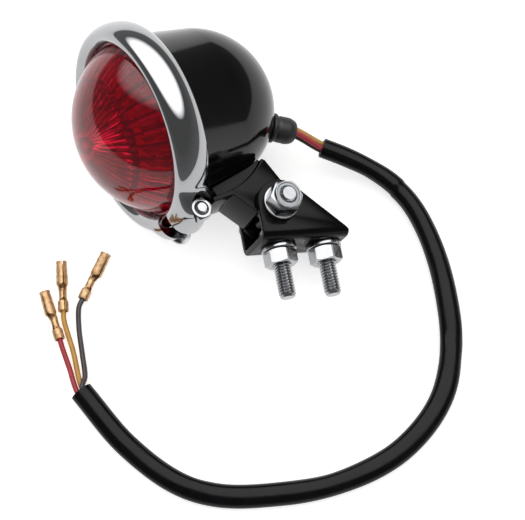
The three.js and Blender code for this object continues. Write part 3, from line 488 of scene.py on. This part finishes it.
def connector_rows(seam_deg, bend):
    rows = []
    stations = []
    for (x0, r0, g0), (x1, r1, g1) in zip(CONNECTOR, CONNECTOR[1:]):
        for step in range(4):
            t = smoothstep(step / 4)
            stations.append((x0 + (x1 - x0) * step / 4, r0 + (r1 - r0) * t, g0 + (g1 - g0) * t))
    stations.append(CONNECTOR[-1])
    for x, radius, gap in stations:
        aside = bend * smoothstep((x - 7.6) / 2.6)
        ring = []
        for side, r in ((1, radius), (-1, radius - CONNECTOR_SHEET)):
            for j in range(41)[::side]:
                angle = rad(seam_deg) + rad(gap / 2 + (360 - gap) * j / 40)
                dent = 0.05 * noise.noise(Vector((x * 0.8, 2 * cos(angle), 2 * sin(angle))))
                wide = 1 + 0.09 * smoothstep((x - 8.6) / 2)
                ring.append((x, aside + (r + dent) * wide * sin(angle), (r + dent) * cos(angle)))
        rows.append(ring)
    return rows


def strip_caps(faces, rows):
    """Closes the two ends of a curled sheet with quads between its outside and its inside."""
    count = len(rows[0])
    last = (len(rows) - 1) * count
    for j in range(count // 2 - 1):
        faces.append((j, j + 1, count - 2 - j, count - 1 - j))
        faces.append((last + j, last + j + 1, last + count - 2 - j, last + count - 1 - j))


for colour, (bundle_deg, sleeve_deg, tail, crimp_at, heading_deg) in WIRES.items():
    forward = Vector((cos(rad(heading_deg)), sin(rad(heading_deg)), 0))
    crimp = Vector((*crimp_at, CONNECTOR_Z))
    route = [grommet_point(bundle_deg, d) for d in (-3.7, BOOT_H * 0.5, BOOT_H + 0.6)]
    route += [in_sleeve(i / SLEEVE_SAMPLES, sleeve_deg) for i in range(SLEEVE_SAMPLES + 1)]
    route += [Vector(p) for p in tail] + [crimp - forward * 2.5, crimp, crimp + forward * 3.6]
    path = even_curve(route, 300)
    bare = [crimp + forward * d for d in (3.7, 4.2, 5.4, 6.6, 7.8, 8.0)]
    rows = []
    for spot, (ahead, left, lift) in zip(path, directions(path)):
        rows.append([spot + (left * cos(TAU * j / 14) + lift * sin(TAU * j / 14)) * WIRE_R
                     for j in range(14)])
    for spot in bare:
        ahead, left, lift = forward, Vector((0, 0, 1)).cross(forward), Vector((0, 0, 1))
        fat = 0.2 if spot is bare[-1] else 0.68
        rows.append([spot + (left * cos(TAU * j / 14) + lift * sin(TAU * j / 14))
                     * fat * (1 + 0.09 * cos(7 * TAU * j / 14)) for j in range(14)])
    wire = make(f"lead_{colour}", *sheet(rows, caps=True))
    finished(wire, f"wire_{colour}", TABLE, [f"wire_{colour}"], sharp=50)
    wire.data.materials.append(LOOKS["copper"])
    start = (crimp + forward * 3.65) * MM
    for face in wire.data.polygons:
        ahead = (face.center - start).dot(forward)
        if ahead > 0 and (face.center - start).length < 7 * MM:
            face.material_index = 1
    rows = connector_rows(CONNECTOR_SEAM[colour], CONNECTOR_BEND[colour])
    verts, faces = sheet(rows)
    strip_caps(faces, rows)
    bullet = make(f"bullet_{colour}", verts, faces)
    finished(bullet, "brass", TABLE @ along(forward, crimp), [f"connector_{colour}"], sharp=40)

# ---- clamp ring ----
def c_section():
    """The ring's curled section: (along, radial, share of the lug's bulge)."""
    def ellipse(shrink, degrees):
        a, b = RING_AXIAL - shrink, RING_RADIAL - shrink
        return [Vector((a * sin(rad(d)), b * cos(rad(d)))) for d in degrees]

    steps = 48
    degrees = [RING_FRONT_CURL + (RING_REAR_CURL - RING_FRONT_CURL) * i / steps
               for i in range(steps + 1)]
    outside = ellipse(0, degrees)
    inside = ellipse(RING_WALL, degrees[::-1])
    points = [(*p, max(0.0, cos(rad(d))) ** 0.7) for p, d in zip(outside, degrees)]

    def lip(a, b, before):
        middle, reach = (a + b) / 2, (a - b).length / 2
        ahead = (a - before).normalized()
        return [(*(middle + (a - middle) * cos(t) + ahead * reach * sin(t)), 0)
                for t in (rad(30), rad(60), rad(90), rad(120), rad(150))]

    points += lip(outside[-1], inside[0], outside[-2])
    points += [(*p, 0) for p in inside]
    points += lip(inside[-1], outside[0], inside[-2])
    return points


RING_STEPS = 260
FAR_BULGE, NEAR_BULGE = 3.2, 4.4
SCREW_HOLE_R, NUT_POCKET_R, HEAD_ROOM_R = 2.2, 4.12, 4.35
far_end = math.asin(SPLIT_FAR_Y / RING_MEAN_R)
near_end = TAU + math.asin(SPLIT_NEAR_Y / RING_MEAN_R)
section = c_section()
ring_rows = []
for k in range(RING_STEPS + 1):
    angle = far_end + (near_end - far_end) * k / RING_STEPS
    from_far, from_near = (angle - far_end) * RING_MEAN_R, (near_end - angle) * RING_MEAN_R
    bulge = max(FAR_BULGE * (1 - smoothstep((from_far - 3.4) / 6)),
                NEAR_BULGE * (1 - smoothstep((from_near - 7.6) / 8)))
    row = []
    for x, radial, share in section:
        radius = RING_MEAN_R + radial + bulge * share
        turn = angle
        if from_far < 14:
            turn += (1 - smoothstep(from_far / 14)) * (math.asin(SPLIT_FAR_Y / radius) - far_end)
        if from_near < 14:
            flat = TAU + math.asin(SPLIT_NEAR_Y / radius) - near_end
            turn += (1 - smoothstep(from_near / 14)) * flat
        row.append((x, radius * sin(turn), -radius * cos(turn)))
    ring_rows.append(row)
ring = make("ring", *sheet(ring_rows, caps=True))
clamp_at = (CLAMP_BEHIND, 0, -CLAMP_BELOW)
across_clamp = along((0, 1, 0), clamp_at)
combine(
    ring,
    rod("hole", SCREW_HOLE_R, -20, 20, across_clamp),
    rod("pocket", NUT_POCKET_R, -20, LUG_NEAR_Y + 1.2, across_clamp),
    rod("room", HEAD_ROOM_R, LUG_FAR_Y, 24, across_clamp),
)
finished(ring, "chrome", LAMP, ["clamp_ring"], sharp=32)


# ---- threads, heads and nuts ----
def threaded(angle, start, end, radius, pitch, depth, per_turn=8):
    """Rows of a thread between two stations."""
    count = max(2, round(abs(end - start) / pitch * per_turn))
    rows = []
    for i in range(count + 1):
        x = start + (end - start) * i / count
        wave = abs(2 * ((x / pitch - angle / TAU) % 1.0) - 1)
        cut = depth * min(max((wave - 0.12) / 0.76, 0), 1)
        rows.append((x, radius - cut))
    return rows


def paint_root_shade(item, matrix, limit, low, high):
    """Painted shade in the roots of a thread: a darker zinc on the faces of it that lie deeper than a radius."""
    item.data.materials.append(LOOKS["zinc_painted_root_shade"])
    back = matrix.inverted()
    for face in item.data.polygons:
        spot = back @ face.center
        if low < spot.x < high and math.hypot(spot.y, spot.z) < limit:
            face.material_index = 1


def hex_radius(angle, flats):
    off = (angle % (TAU / 6)) - TAU / 12
    return min(flats / 2 / cos(off), flats / math.sqrt(3) * 0.985)


CHAMFER = math.tan(rad(30))


def hex_side(angle, flats, low, high, low_chamfer=True, high_chamfer=True):
    """Outside of a hexagon between two faces; the cone of the chamfer leaves curved edges."""
    r = hex_radius(angle, flats)
    flat_r = flats / 2 * 0.94
    drop = (r - flat_r) * CHAMFER
    start = [(low, flat_r), (low + drop, r)] if low_chamfer else [(low, r - 0.12), (low + 0.12, r)]
    end = [(high - 0.12, r), (high, r - 0.12)]
    if high_chamfer:
        end = [(high - drop, r), (high, flat_r)]
    return start + end


def nut(name, flats, low, high, bore):
    def profile(angle):
        side = hex_side(angle, flats, low, high)
        lip = bore + 0.45
        return [(low, lip), *side, (high, lip), (high - 0.42, bore), (low + 0.42, bore)]

    return spun(name, profile, 96, loop=True)


def bolt(name, flats, head_h, length, radius, pitch, seat, way):
    """A hexagon bolt; way is +1 when its shank points along +X."""
    def profile(angle):
        side = hex_side(angle, flats, -head_h, 0, high_chamfer=False)
        thread = threaded(angle, 0.6, length - 0.9, radius, pitch, 0.6 * pitch)
        tip = [(length - 0.5, radius - 0.35), (length, radius - 0.75), (length, 0)]
        points = [(-head_h, 0), (-head_h, 1.2), *side, (0, radius + 0.25), (0.3, radius), *thread,
                  *tip]
        return [(seat + way * x, r) for x, r in points]

    return spun(name, profile, 72)


floor_top = BASE_BOTTOM + BASE_THICK
DOWN, FAR, NEAR = (0, 0, -1), (0, 1, 0), (0, -1, 0)
WASHER, WASHER_R = 1.5, 6


def washer_outline(low):
    high = low + WASHER
    return soften([(low, BOLT_HOLE_R), (low, WASHER_R), (high, WASHER_R), (high, BOLT_HOLE_R)], 0.3)


for place, x in STUD_X.items():
    down = LAID @ along(DOWN, (x, 0, 0))
    seat = -floor_top - STACK_GAP
    stud = bolt(f"stud_{place}", 10, 4, -STUD_TIP_Z - seat, BOLT_R, 1.0, seat, 1)
    finished(stud, "zinc", down, [f"mount_bolt_{place}"], "bracket", 25)
    # paints shade into the roots of the stud's thread
    paint_root_shade(stud, down, BOLT_R - 0.34, seat, -STUD_TIP_Z - 0.9)
    top = -BASE_BOTTOM + STACK_GAP
    washer = spun(f"washer_{place}", washer_outline(top), 72, loop=True)
    finished(washer, "zinc", down, [f"mount_washer_{place}"], "bracket", 45)
    low = top + WASHER + STACK_GAP
    finished(nut(f"nut_{place}", 10, low, low + 5, 3.05), "zinc", down, [f"mount_nut_{place}"],
             "bracket", 25)

ear_face = BASE_HALF + STACK_GAP
washer_face = ear_face + WASHER + STACK_GAP
nut_face = washer_face + 5.4
bolt_tip = nut_face + 1.8
for side, way in (("head_side", FAR), ("nut_side", NEAR)):
    washer = spun(f"washer_{side}", washer_outline(ear_face), 72, loop=True)
    finished(washer, "zinc", LAID @ along(way), [f"pivot_washer_{side}"], "bracket", 45)
pivot = bolt("pivot", 10, 4, washer_face + bolt_tip, BOLT_R, 1.0, washer_face, -1)
finished(pivot, "zinc", LAID @ along(FAR), ["pivot_bolt"], "bracket", 25)


def lock_profile(angle):
    side = hex_side(angle, 10, washer_face, nut_face)
    collar = soften([(nut_face, 4.62), (nut_face + 1.2, 4.5), (nut_face + 1.2, 3.95),
                     (nut_face, 3.95)], 0.3, 3)
    return [(washer_face, 3.5), *side, *collar, (nut_face - 0.1, 3.4), (nut_face - 0.3, 3.05),
            (washer_face + 0.42, 3.05)]


lock_nut = spun("lock_nut", lock_profile, 96, loop=True)
finished(lock_nut, "zinc", LAID @ along(NEAR), ["pivot_nut"], "bracket", 28)
ring_of_nylon = soften([(nut_face + 0.05, 3.1), (nut_face + 0.05, 3.9), (nut_face + 1.0, 3.9),
                        (nut_face + 1.0, 3.1)], 0.15, 2)
insert = spun("insert", ring_of_nylon, 64, loop=True)
finished(insert, "nylon", LAID @ along(NEAR), ["pivot_nut_insert"], "bracket", 40)

# ---- ring screw and its nut ----
nut_seat = LUG_NEAR_Y + 1.2 - STACK_GAP
nut_outer = nut_seat - 3.0


def ring_screw_profile(angle):
    head = LUG_FAR_Y + STACK_GAP
    thread = threaded(angle, nut_outer - 0.4, nut_outer + 9, 1.95, 0.7, 0.36)
    dome = [(head + 1.0, 3.6), (head + 1.6, 3.42), (head + 2.05, 2.95), (head + 2.3, 2.2),
            (head + 2.4, 1.2), (head + 2.4, 0)]
    return [(nut_outer - 0.8, 0), (nut_outer - 0.8, 1.5), (nut_outer - 0.55, 1.75), *thread,
            (nut_outer + 9.3, 1.9), (head, 1.9), (head, 3.5), (head + 0.12, 3.6), *dome]


screw = spun("clamp_screw", ring_screw_profile, 56)
recess_at = LUG_FAR_Y + STACK_GAP
for turn in (0, 90):
    arm = prism("arm", [(recess_at + 0.9, -0.35), (recess_at + 0.9, 0.35), (recess_at + 3, 0.5),
                        (recess_at + 3, -0.5)], -1.9, 1.9)
    arm.data.transform(Matrix.Rotation(rad(turn), 4, "X"))
    combine(screw, arm)
finished(screw, "zinc", LAMP @ across_clamp, ["ring_screw"], sharp=30)


def ring_nut_profile(angle):
    r = hex_radius(angle, 7)
    drop = (r - 3.2) * 0.75
    return [(nut_outer, 2.5), (nut_outer, 3.2), (nut_outer + drop, r), (nut_seat - 0.12, r),
            (nut_seat, r - 0.12), (nut_seat, 2.3), (nut_seat - 0.3, 2.0), (nut_outer + 0.5, 2.0)]


clamp_nut = spun("clamp_nut", ring_nut_profile, 96, loop=True)
finished(clamp_nut, "zinc", LAMP @ across_clamp, ["ring_nut"], sharp=25)

# ---- lens ----
LENS_SIDES = 288
FLUTES, FACETS = 48, 32
FLUTE_END, FACET_START, INSIDE_END = 18.6, 19.6, 29.6
FLUTE_DEPTH, FLUTE_START = 0.8, 1.5
FLUTE_EDGE, FACET_EDGE = 0.6, 0.2


def flute_at(angle):
    """0 in the middle of a flute, 1 where two meet."""
    return abs(2 * ((angle / TAU * FLUTES) % 1.0) - 1)


def facet_at(angle):
    return abs(sin(angle / 2 * FACETS))


def lens_profile(angle):
    outside = []
    edge = math.acos((DOME_CENTRE - FLANGE_FRONT) / DOME_R)
    for i in range(34):
        t = edge * (1 - i / 33)
        outside.append((DOME_CENTRE - DOME_R * cos(t), DOME_R * sin(t)))
    flute, facet = flute_at(angle), facet_at(angle)
    inside = []
    for i in range(46):
        rho = 0.02 + (INSIDE_END - 0.02) * i / 45
        if rho < FLUTE_END:
            depth = 0.15 + FLUTE_DEPTH * flute * smoothstep(rho / 6) * min(rho / 15, 1)
        else:
            step = smoothstep((rho - FLUTE_END) / (FACET_START - FLUTE_END))
            terrace = ((rho - FACET_START) / 3.4) % 1.0
            outer = 0.45 * facet + 0.35 * terrace - 0.5
            depth = (1 - step) * (0.15 + FLUTE_DEPTH * flute) + step * outer
        r = DOME_R - LENS_THICK + depth
        x = DOME_CENTRE - math.sqrt(max(r * r - rho * rho, 1.0))
        inside.append((min(x, FLANGE_BACK - 0.02), rho))
    rim = soften([(FLANGE_BACK, FLANGE_R), (FLANGE_FRONT, FLANGE_R)], 0.3, 2, loop=False)
    return [*inside, (FLANGE_BACK, 30.2), *rim, *outside]


lens = spun("red_cover", lens_profile, LENS_SIDES)
finished(lens, "red_lens", LAMP, ["lens"], sharp=24)
lens.data.materials.append(LOOKS["flute_edge_painted_shade"])


def is_painted_shade_edge(spot):
    """Whether a point of the lens lies inside it, on the edge of a flute or a facet, where the lens gets painted
    shade.
    """
    rho = math.hypot(spot.y, spot.z)
    on_dome = (Vector((DOME_CENTRE, 0, 0)) - spot).length > DOME_R - 0.3
    if on_dome or spot.x > FLANGE_BACK - 0.1:
        return False
    angle = math.atan2(spot.z, spot.y) % TAU
    if rho < FLUTE_END:
        return rho > FLUTE_START and flute_at(angle) > FLUTE_EDGE
    return rho < FACET_START or facet_at(angle) < FACET_EDGE


lamp_inverse = LAMP.inverted()
# paints shade on the edges of the flutes and facets inside the lens
for face in lens.data.polygons:
    face.material_index = int(is_painted_shade_edge(lamp_inverse @ face.center))

# ---- housing ----
slope = rad(BUCKET_SLOPE_DEG)


def bucket_back(radius, steps):
    return [(BUCKET_CENTRE + radius * sin(a), radius * cos(a))
            for a in (slope + (TAU / 4 - slope) * i / steps for i in range(steps + 1))]


def bucket_outside(grow):
    return [(RIM_BACK + 1.4, BUCKET_FRONT_R + 0.35 + grow), *bucket_back(BUCKET_BACK_R + grow, 40)]


rim = soften([(RIM_FRONT, BUCKET_FRONT_R - BUCKET_WALL + 0.2), (RIM_FRONT, RIM_R),
              (RIM_BACK, RIM_R), (RIM_BACK, BUCKET_FRONT_R + 0.9),
              (RIM_BACK + 1.4, BUCKET_FRONT_R + 0.35), (10, 29.4)], 0.7, 5, loop=False)
shell = [*bucket_back(BUCKET_BACK_R - BUCKET_WALL, 36)[::-1], *rim[:-1],
         *bucket_back(BUCKET_BACK_R, 44)]
at_grommet = along(grommet_out, grommet_seat)
bucket = spun("bucket", shell, 144)
combine(bucket, rod("hole", 4.2, -5, 5, at_grommet))
finished(bucket, "gloss_black", LAMP, ["housing"], sharp=40)

boot = soften([
    (-4.1, 2.6), (-4.1, 4.5), (-2.3, 4.65), (-2.3, 3.9), (CLEARANCE, 3.9), (CLEARANCE, 5.15),
    (1.8, 5.15), (1.9, 4.2), (3.0, 4.6), (6.6, 4.65), (8.3, 4.1), (BOOT_H, 3.3), (BOOT_H, 2.6),
], 0.6, 4)
finished(spun("grommet", boot, 64, loop=True), "grommet_rubber", LAMP @ at_grommet,
         ["cable_grommet"], sharp=50)

# ---- base bracket ----
slope_angle = rad(EAR_SLOPE_DEG)
normal = (cos(slope_angle), sin(slope_angle))
heel_x = (EAR_R + EAR_X * normal[0] + EAR_Z * normal[1] - normal[1] * EAR_HEEL_Z) / normal[0]
base_side = [
    (BASE_FRONT_X, BASE_BOTTOM), (BASE_REAR_X, BASE_BOTTOM), (BASE_REAR_X, EAR_HEEL_Z - 0.5),
    (min(heel_x, BASE_REAR_X - 0.5), EAR_HEEL_Z + 0.16),
    *arc(EAR_X, EAR_Z, EAR_R, slope_angle, TAU / 2, 26),
]


def channel(half, floor, top, bend):
    return [(-half, top), *arc(bend - half, floor + bend, bend, TAU / 2, TAU * 3 / 4, 7),
            *arc(half - bend, floor + bend, bend, -TAU / 4, 0, 7), (half, top)]


base = prism("base", channel(BASE_HALF, BASE_BOTTOM, 12, BASE_BEND_R), BASE_FRONT_X - 1,
             BASE_REAR_X + 1, "X")
combine(base, prism("side", base_side, -12, 12), operation="INTERSECT")
hollow = channel(BASE_HALF - BASE_THICK, floor_top, 13, BASE_BEND_R - BASE_THICK)
combine(
    base,
    prism("hollow", hollow, BASE_FRONT_X - 2, BASE_REAR_X + 2, "X"),
    rod("hole", BOLT_HOLE_R, -20, 20, along(FAR)),
    *[rod("hole", BOLT_HOLE_R, 0, 30, along(DOWN, (x, 0, 0))) for x in STUD_X.values()],
)
bevel(base, 0.32)
finished(base, "satin_black", LAID, ["base_bracket"], "bracket", 40)


# ---- foot bracket ----
def circle_through(a, b, c):
    d = 2 * (a[0] * (b[1] - c[1]) + b[0] * (c[1] - a[1]) + c[0] * (a[1] - b[1]))
    sa, sb, sc = (p[0] ** 2 + p[1] ** 2 for p in (a, b, c))
    x = (sa * (b[1] - c[1]) + sb * (c[1] - a[1]) + sc * (a[1] - b[1])) / d
    z = (sa * (c[0] - b[0]) + sb * (a[0] - c[0]) + sc * (b[0] - a[0])) / d
    return x, z, math.hypot(a[0] - x, a[1] - z)


sx, sz, sr = circle_through(FOOT_TIP, FOOT_SAG, FOOT_CORNER)
tip_angle = math.atan2(FOOT_TIP[1] - sz, FOOT_TIP[0] - sx)
corner_angle = math.atan2(FOOT_CORNER[1] - sz, FOOT_CORNER[0] - sx)
if corner_angle > tip_angle:
    corner_angle -= TAU
foot_side = [
    FOOT_CORNER,
    *arc(0, 0, FOOT_R, math.atan2(FOOT_LOW[1], FOOT_LOW[0]), 0.35, 30),
    (FOOT_TIP[0] + 1.2, FOOT_TIP[1] - 0.6),
    *arc(sx, sz, sr, tip_angle, corner_angle, 14)[:-1],
]
run = (Vector(FOOT_LOW) - Vector(FOOT_CORNER)).normalized()
web = Vector((-run.y, run.x)) * FOOT_THICK
corner, low_point = Vector(FOOT_CORNER), Vector(FOOT_LOW)
hollow = [corner + web - run * 6, low_point + web, low_point - web * 0.6,
          (low_point.x - web.x * 0.6, -14), (14, -14), (14, 30), (-14, 30)]
lip_way = (Vector(FOOT_LIP_END) - corner).normalized()
lip_up = Vector((-lip_way.y, lip_way.x)) * FOOT_THICK
lip_start = corner + Vector((1.5, 0.4))
lip_outline = [lip_start, lip_start + lip_up, Vector(FOOT_LIP_END) + lip_up, FOOT_LIP_END]
HEAD = Matrix.Rotation(-rad(HEAD_TILT_DEG), 4, "Y") @ Matrix.Translation(RING_CENTRE)


def bucket_solid(grow):
    body = spun("bucket_solid", [(0, 0), (0, BUCKET_FRONT_R + grow), *bucket_outside(grow)], 96)
    body.data.transform(HEAD)
    return body


foot = prism("foot", foot_side, -FOOT_HALF, FOOT_HALF)
inside = FOOT_HALF - FOOT_THICK
combine(foot, prism("hollow", hollow, -inside, inside), bucket_solid(CLEARANCE))
pad_outline = [(FOOT_CORNER[0] - 3.4, FOOT_CORNER[1] - 2), (FOOT_SAG[0], FOOT_SAG[1] - 3),
               (FOOT_TIP[0] + 0.2, FOOT_TIP[1] - 1), (FOOT_TIP[0] - 3, FOOT_TIP[1] + 4),
               (FOOT_CORNER[0] - 8, FOOT_CORNER[1] + 8)]
pad = prism("pad", pad_outline, -inside - 0.2, inside + 0.2)
combine(pad, bucket_solid(PAD_THICK), operation="INTERSECT")
combine(pad, bucket_solid(CLEARANCE))
lip = prism("lip", lip_outline, -FOOT_HALF, FOOT_HALF)
combine(foot, lip, pad, operation="UNION")
combine(foot, rod("hole", BOLT_HOLE_R, -20, 20, along(FAR)))
bevel(foot, 0.3)
finished(foot, "satin_black", LAID, ["foot_bracket"], sharp=40)

# ---- inside the lamp ----
LED_SPOTS = [(8, 4, 0.25), (18, 8, 0.5)]
number = 0
for ring_r, count, phase in LED_SPOTS:
    for i in range(count):
        number += 1
        angle = TAU * (i + phase) / count
        top = BOARD_FRONT - 5.2
        dome = [(top + 2.3 * (1 - cos(t)), 2.3 * sin(t)) for t in (rad(9 * k) for k in range(11))]
        body = [*dome, (BOARD_FRONT - 1.1, 2.3), (BOARD_FRONT - 1.0, 2.4),
                (BOARD_FRONT - 0.1, 2.4), (BOARD_FRONT - 0.05, 2.3), (BOARD_FRONT - 0.05, 0)]
        lamp = spun(f"diode_{number}", body, 32)
        spot = Matrix.Translation((0, ring_r * cos(angle), ring_r * sin(angle)))
        finished(lamp, "led_resin", LAMP @ spot, [f"led_{number}"], sharp=50)
tray_outline = soften([(1.9, 27.3), (1.9, 28.2), (8.2, 26.4), (8.2, 24.2), (7.3, 24.2)], 0.3, 3)
finished(spun("tray", tray_outline, 120, loop=True), "white_plastic", LAMP, ["reflector_tray"],
         sharp=45)

CAD_LOOKS = {
    "lens_gasket": "gasket_rubber", "led_board": "board_green", "board_carrier": "white_plastic",
    "board_screw_1": "zinc", "board_screw_2": "zinc", "inner_lead_red": "wire_red",
    "inner_lead_yellow": "wire_yellow", "inner_lead_black": "wire_black",
}
for node, look in CAD_LOOKS.items():
    mesh = frame["nodes"][node].data
    mesh.materials.clear()
    mesh.materials.append(LOOKS[look])

# ---- floor, light and surroundings ----
floor = make("floor", [(-3, -3, 0), (3, -3, 0), (3, 3, 0), (-3, 3, 0)], [(0, 1, 2, 3)])
floor.data.materials.append(surface("floor", (0.88, 0.88, 0.88), (0.5, 0.6), 0, 40, 8, 0.02, 0.01,
                                    50, Emission_Color=(1, 1, 1, 1), Emission_Strength=0.62))

world = bpy.data.worlds.new("studio")
bpy.context.scene.world = world
world.use_nodes = True
nodes, links = world.node_tree.nodes, world.node_tree.links
sky = nodes.new("ShaderNodeTexCoord").outputs["Generated"]
height = nodes.new("ShaderNodeSeparateXYZ")
links.new(sky, height.inputs[0])
level = map_range(world.node_tree, height.outputs["Z"], 0.22, 0.13, 0.02, 0.5)
links.new(level, nodes["Background"].inputs["Strength"])
nodes["Background"].inputs["Color"].default_value = (1.0, 1.0, 1.0, 1)
bpy.context.scene.view_settings.view_transform = "Standard"


def softbox(name, direction, distance, width, height, radiance, soft=True, glossy=True,
            diffuse=True, long=(1, 0, 0)):
    """An elliptical light that faces the lamp, fading towards its edge if it is soft."""
    data = bpy.data.lights.new(name, "AREA")
    data.shape, data.size, data.size_y = "ELLIPSE", width, height
    data.energy = radiance * math.pi * math.pi / 4 * width * height
    light = bpy.data.objects.new(name, data)
    bpy.context.scene.collection.objects.link(light)
    way = Vector(direction).normalized()
    wide = (Vector(long) - way * way.dot(Vector(long))).normalized()
    light.matrix_world = (
        Matrix.Translation(Vector((0.01, -0.03, 0.02)) + way * distance)
        @ Matrix((wide, way.cross(wide), way)).transposed().to_4x4()
    )
    light.visible_glossy, light.visible_diffuse = glossy, diffuse
    if soft:
        data.use_nodes = True
        tree = data.node_tree
        spot = tree.nodes.new("ShaderNodeNewGeometry").outputs["Parametric"]
        middle = tree.nodes.new("ShaderNodeVectorMath")
        middle.operation = "DISTANCE"
        middle.inputs[1].default_value = (0.5, 0.5, 0)
        tree.links.new(spot, middle.inputs[0])
        fade = map_range(tree, middle.outputs["Value"], 1.0, 0.0, 0.34, 0.5)
        tree.links.new(fade, tree.nodes["Emission"].inputs["Strength"])


softbox("key", (0.02, 0.44, 0.89), 0.85, 2.4, 1.45, 2.7, diffuse=False, long=(0.85, -0.55, 0.25))
softbox("overhead", (0.0, -0.1, 1), 1.3, 4.2, 4.2, 0.75, soft=False, glossy=False)
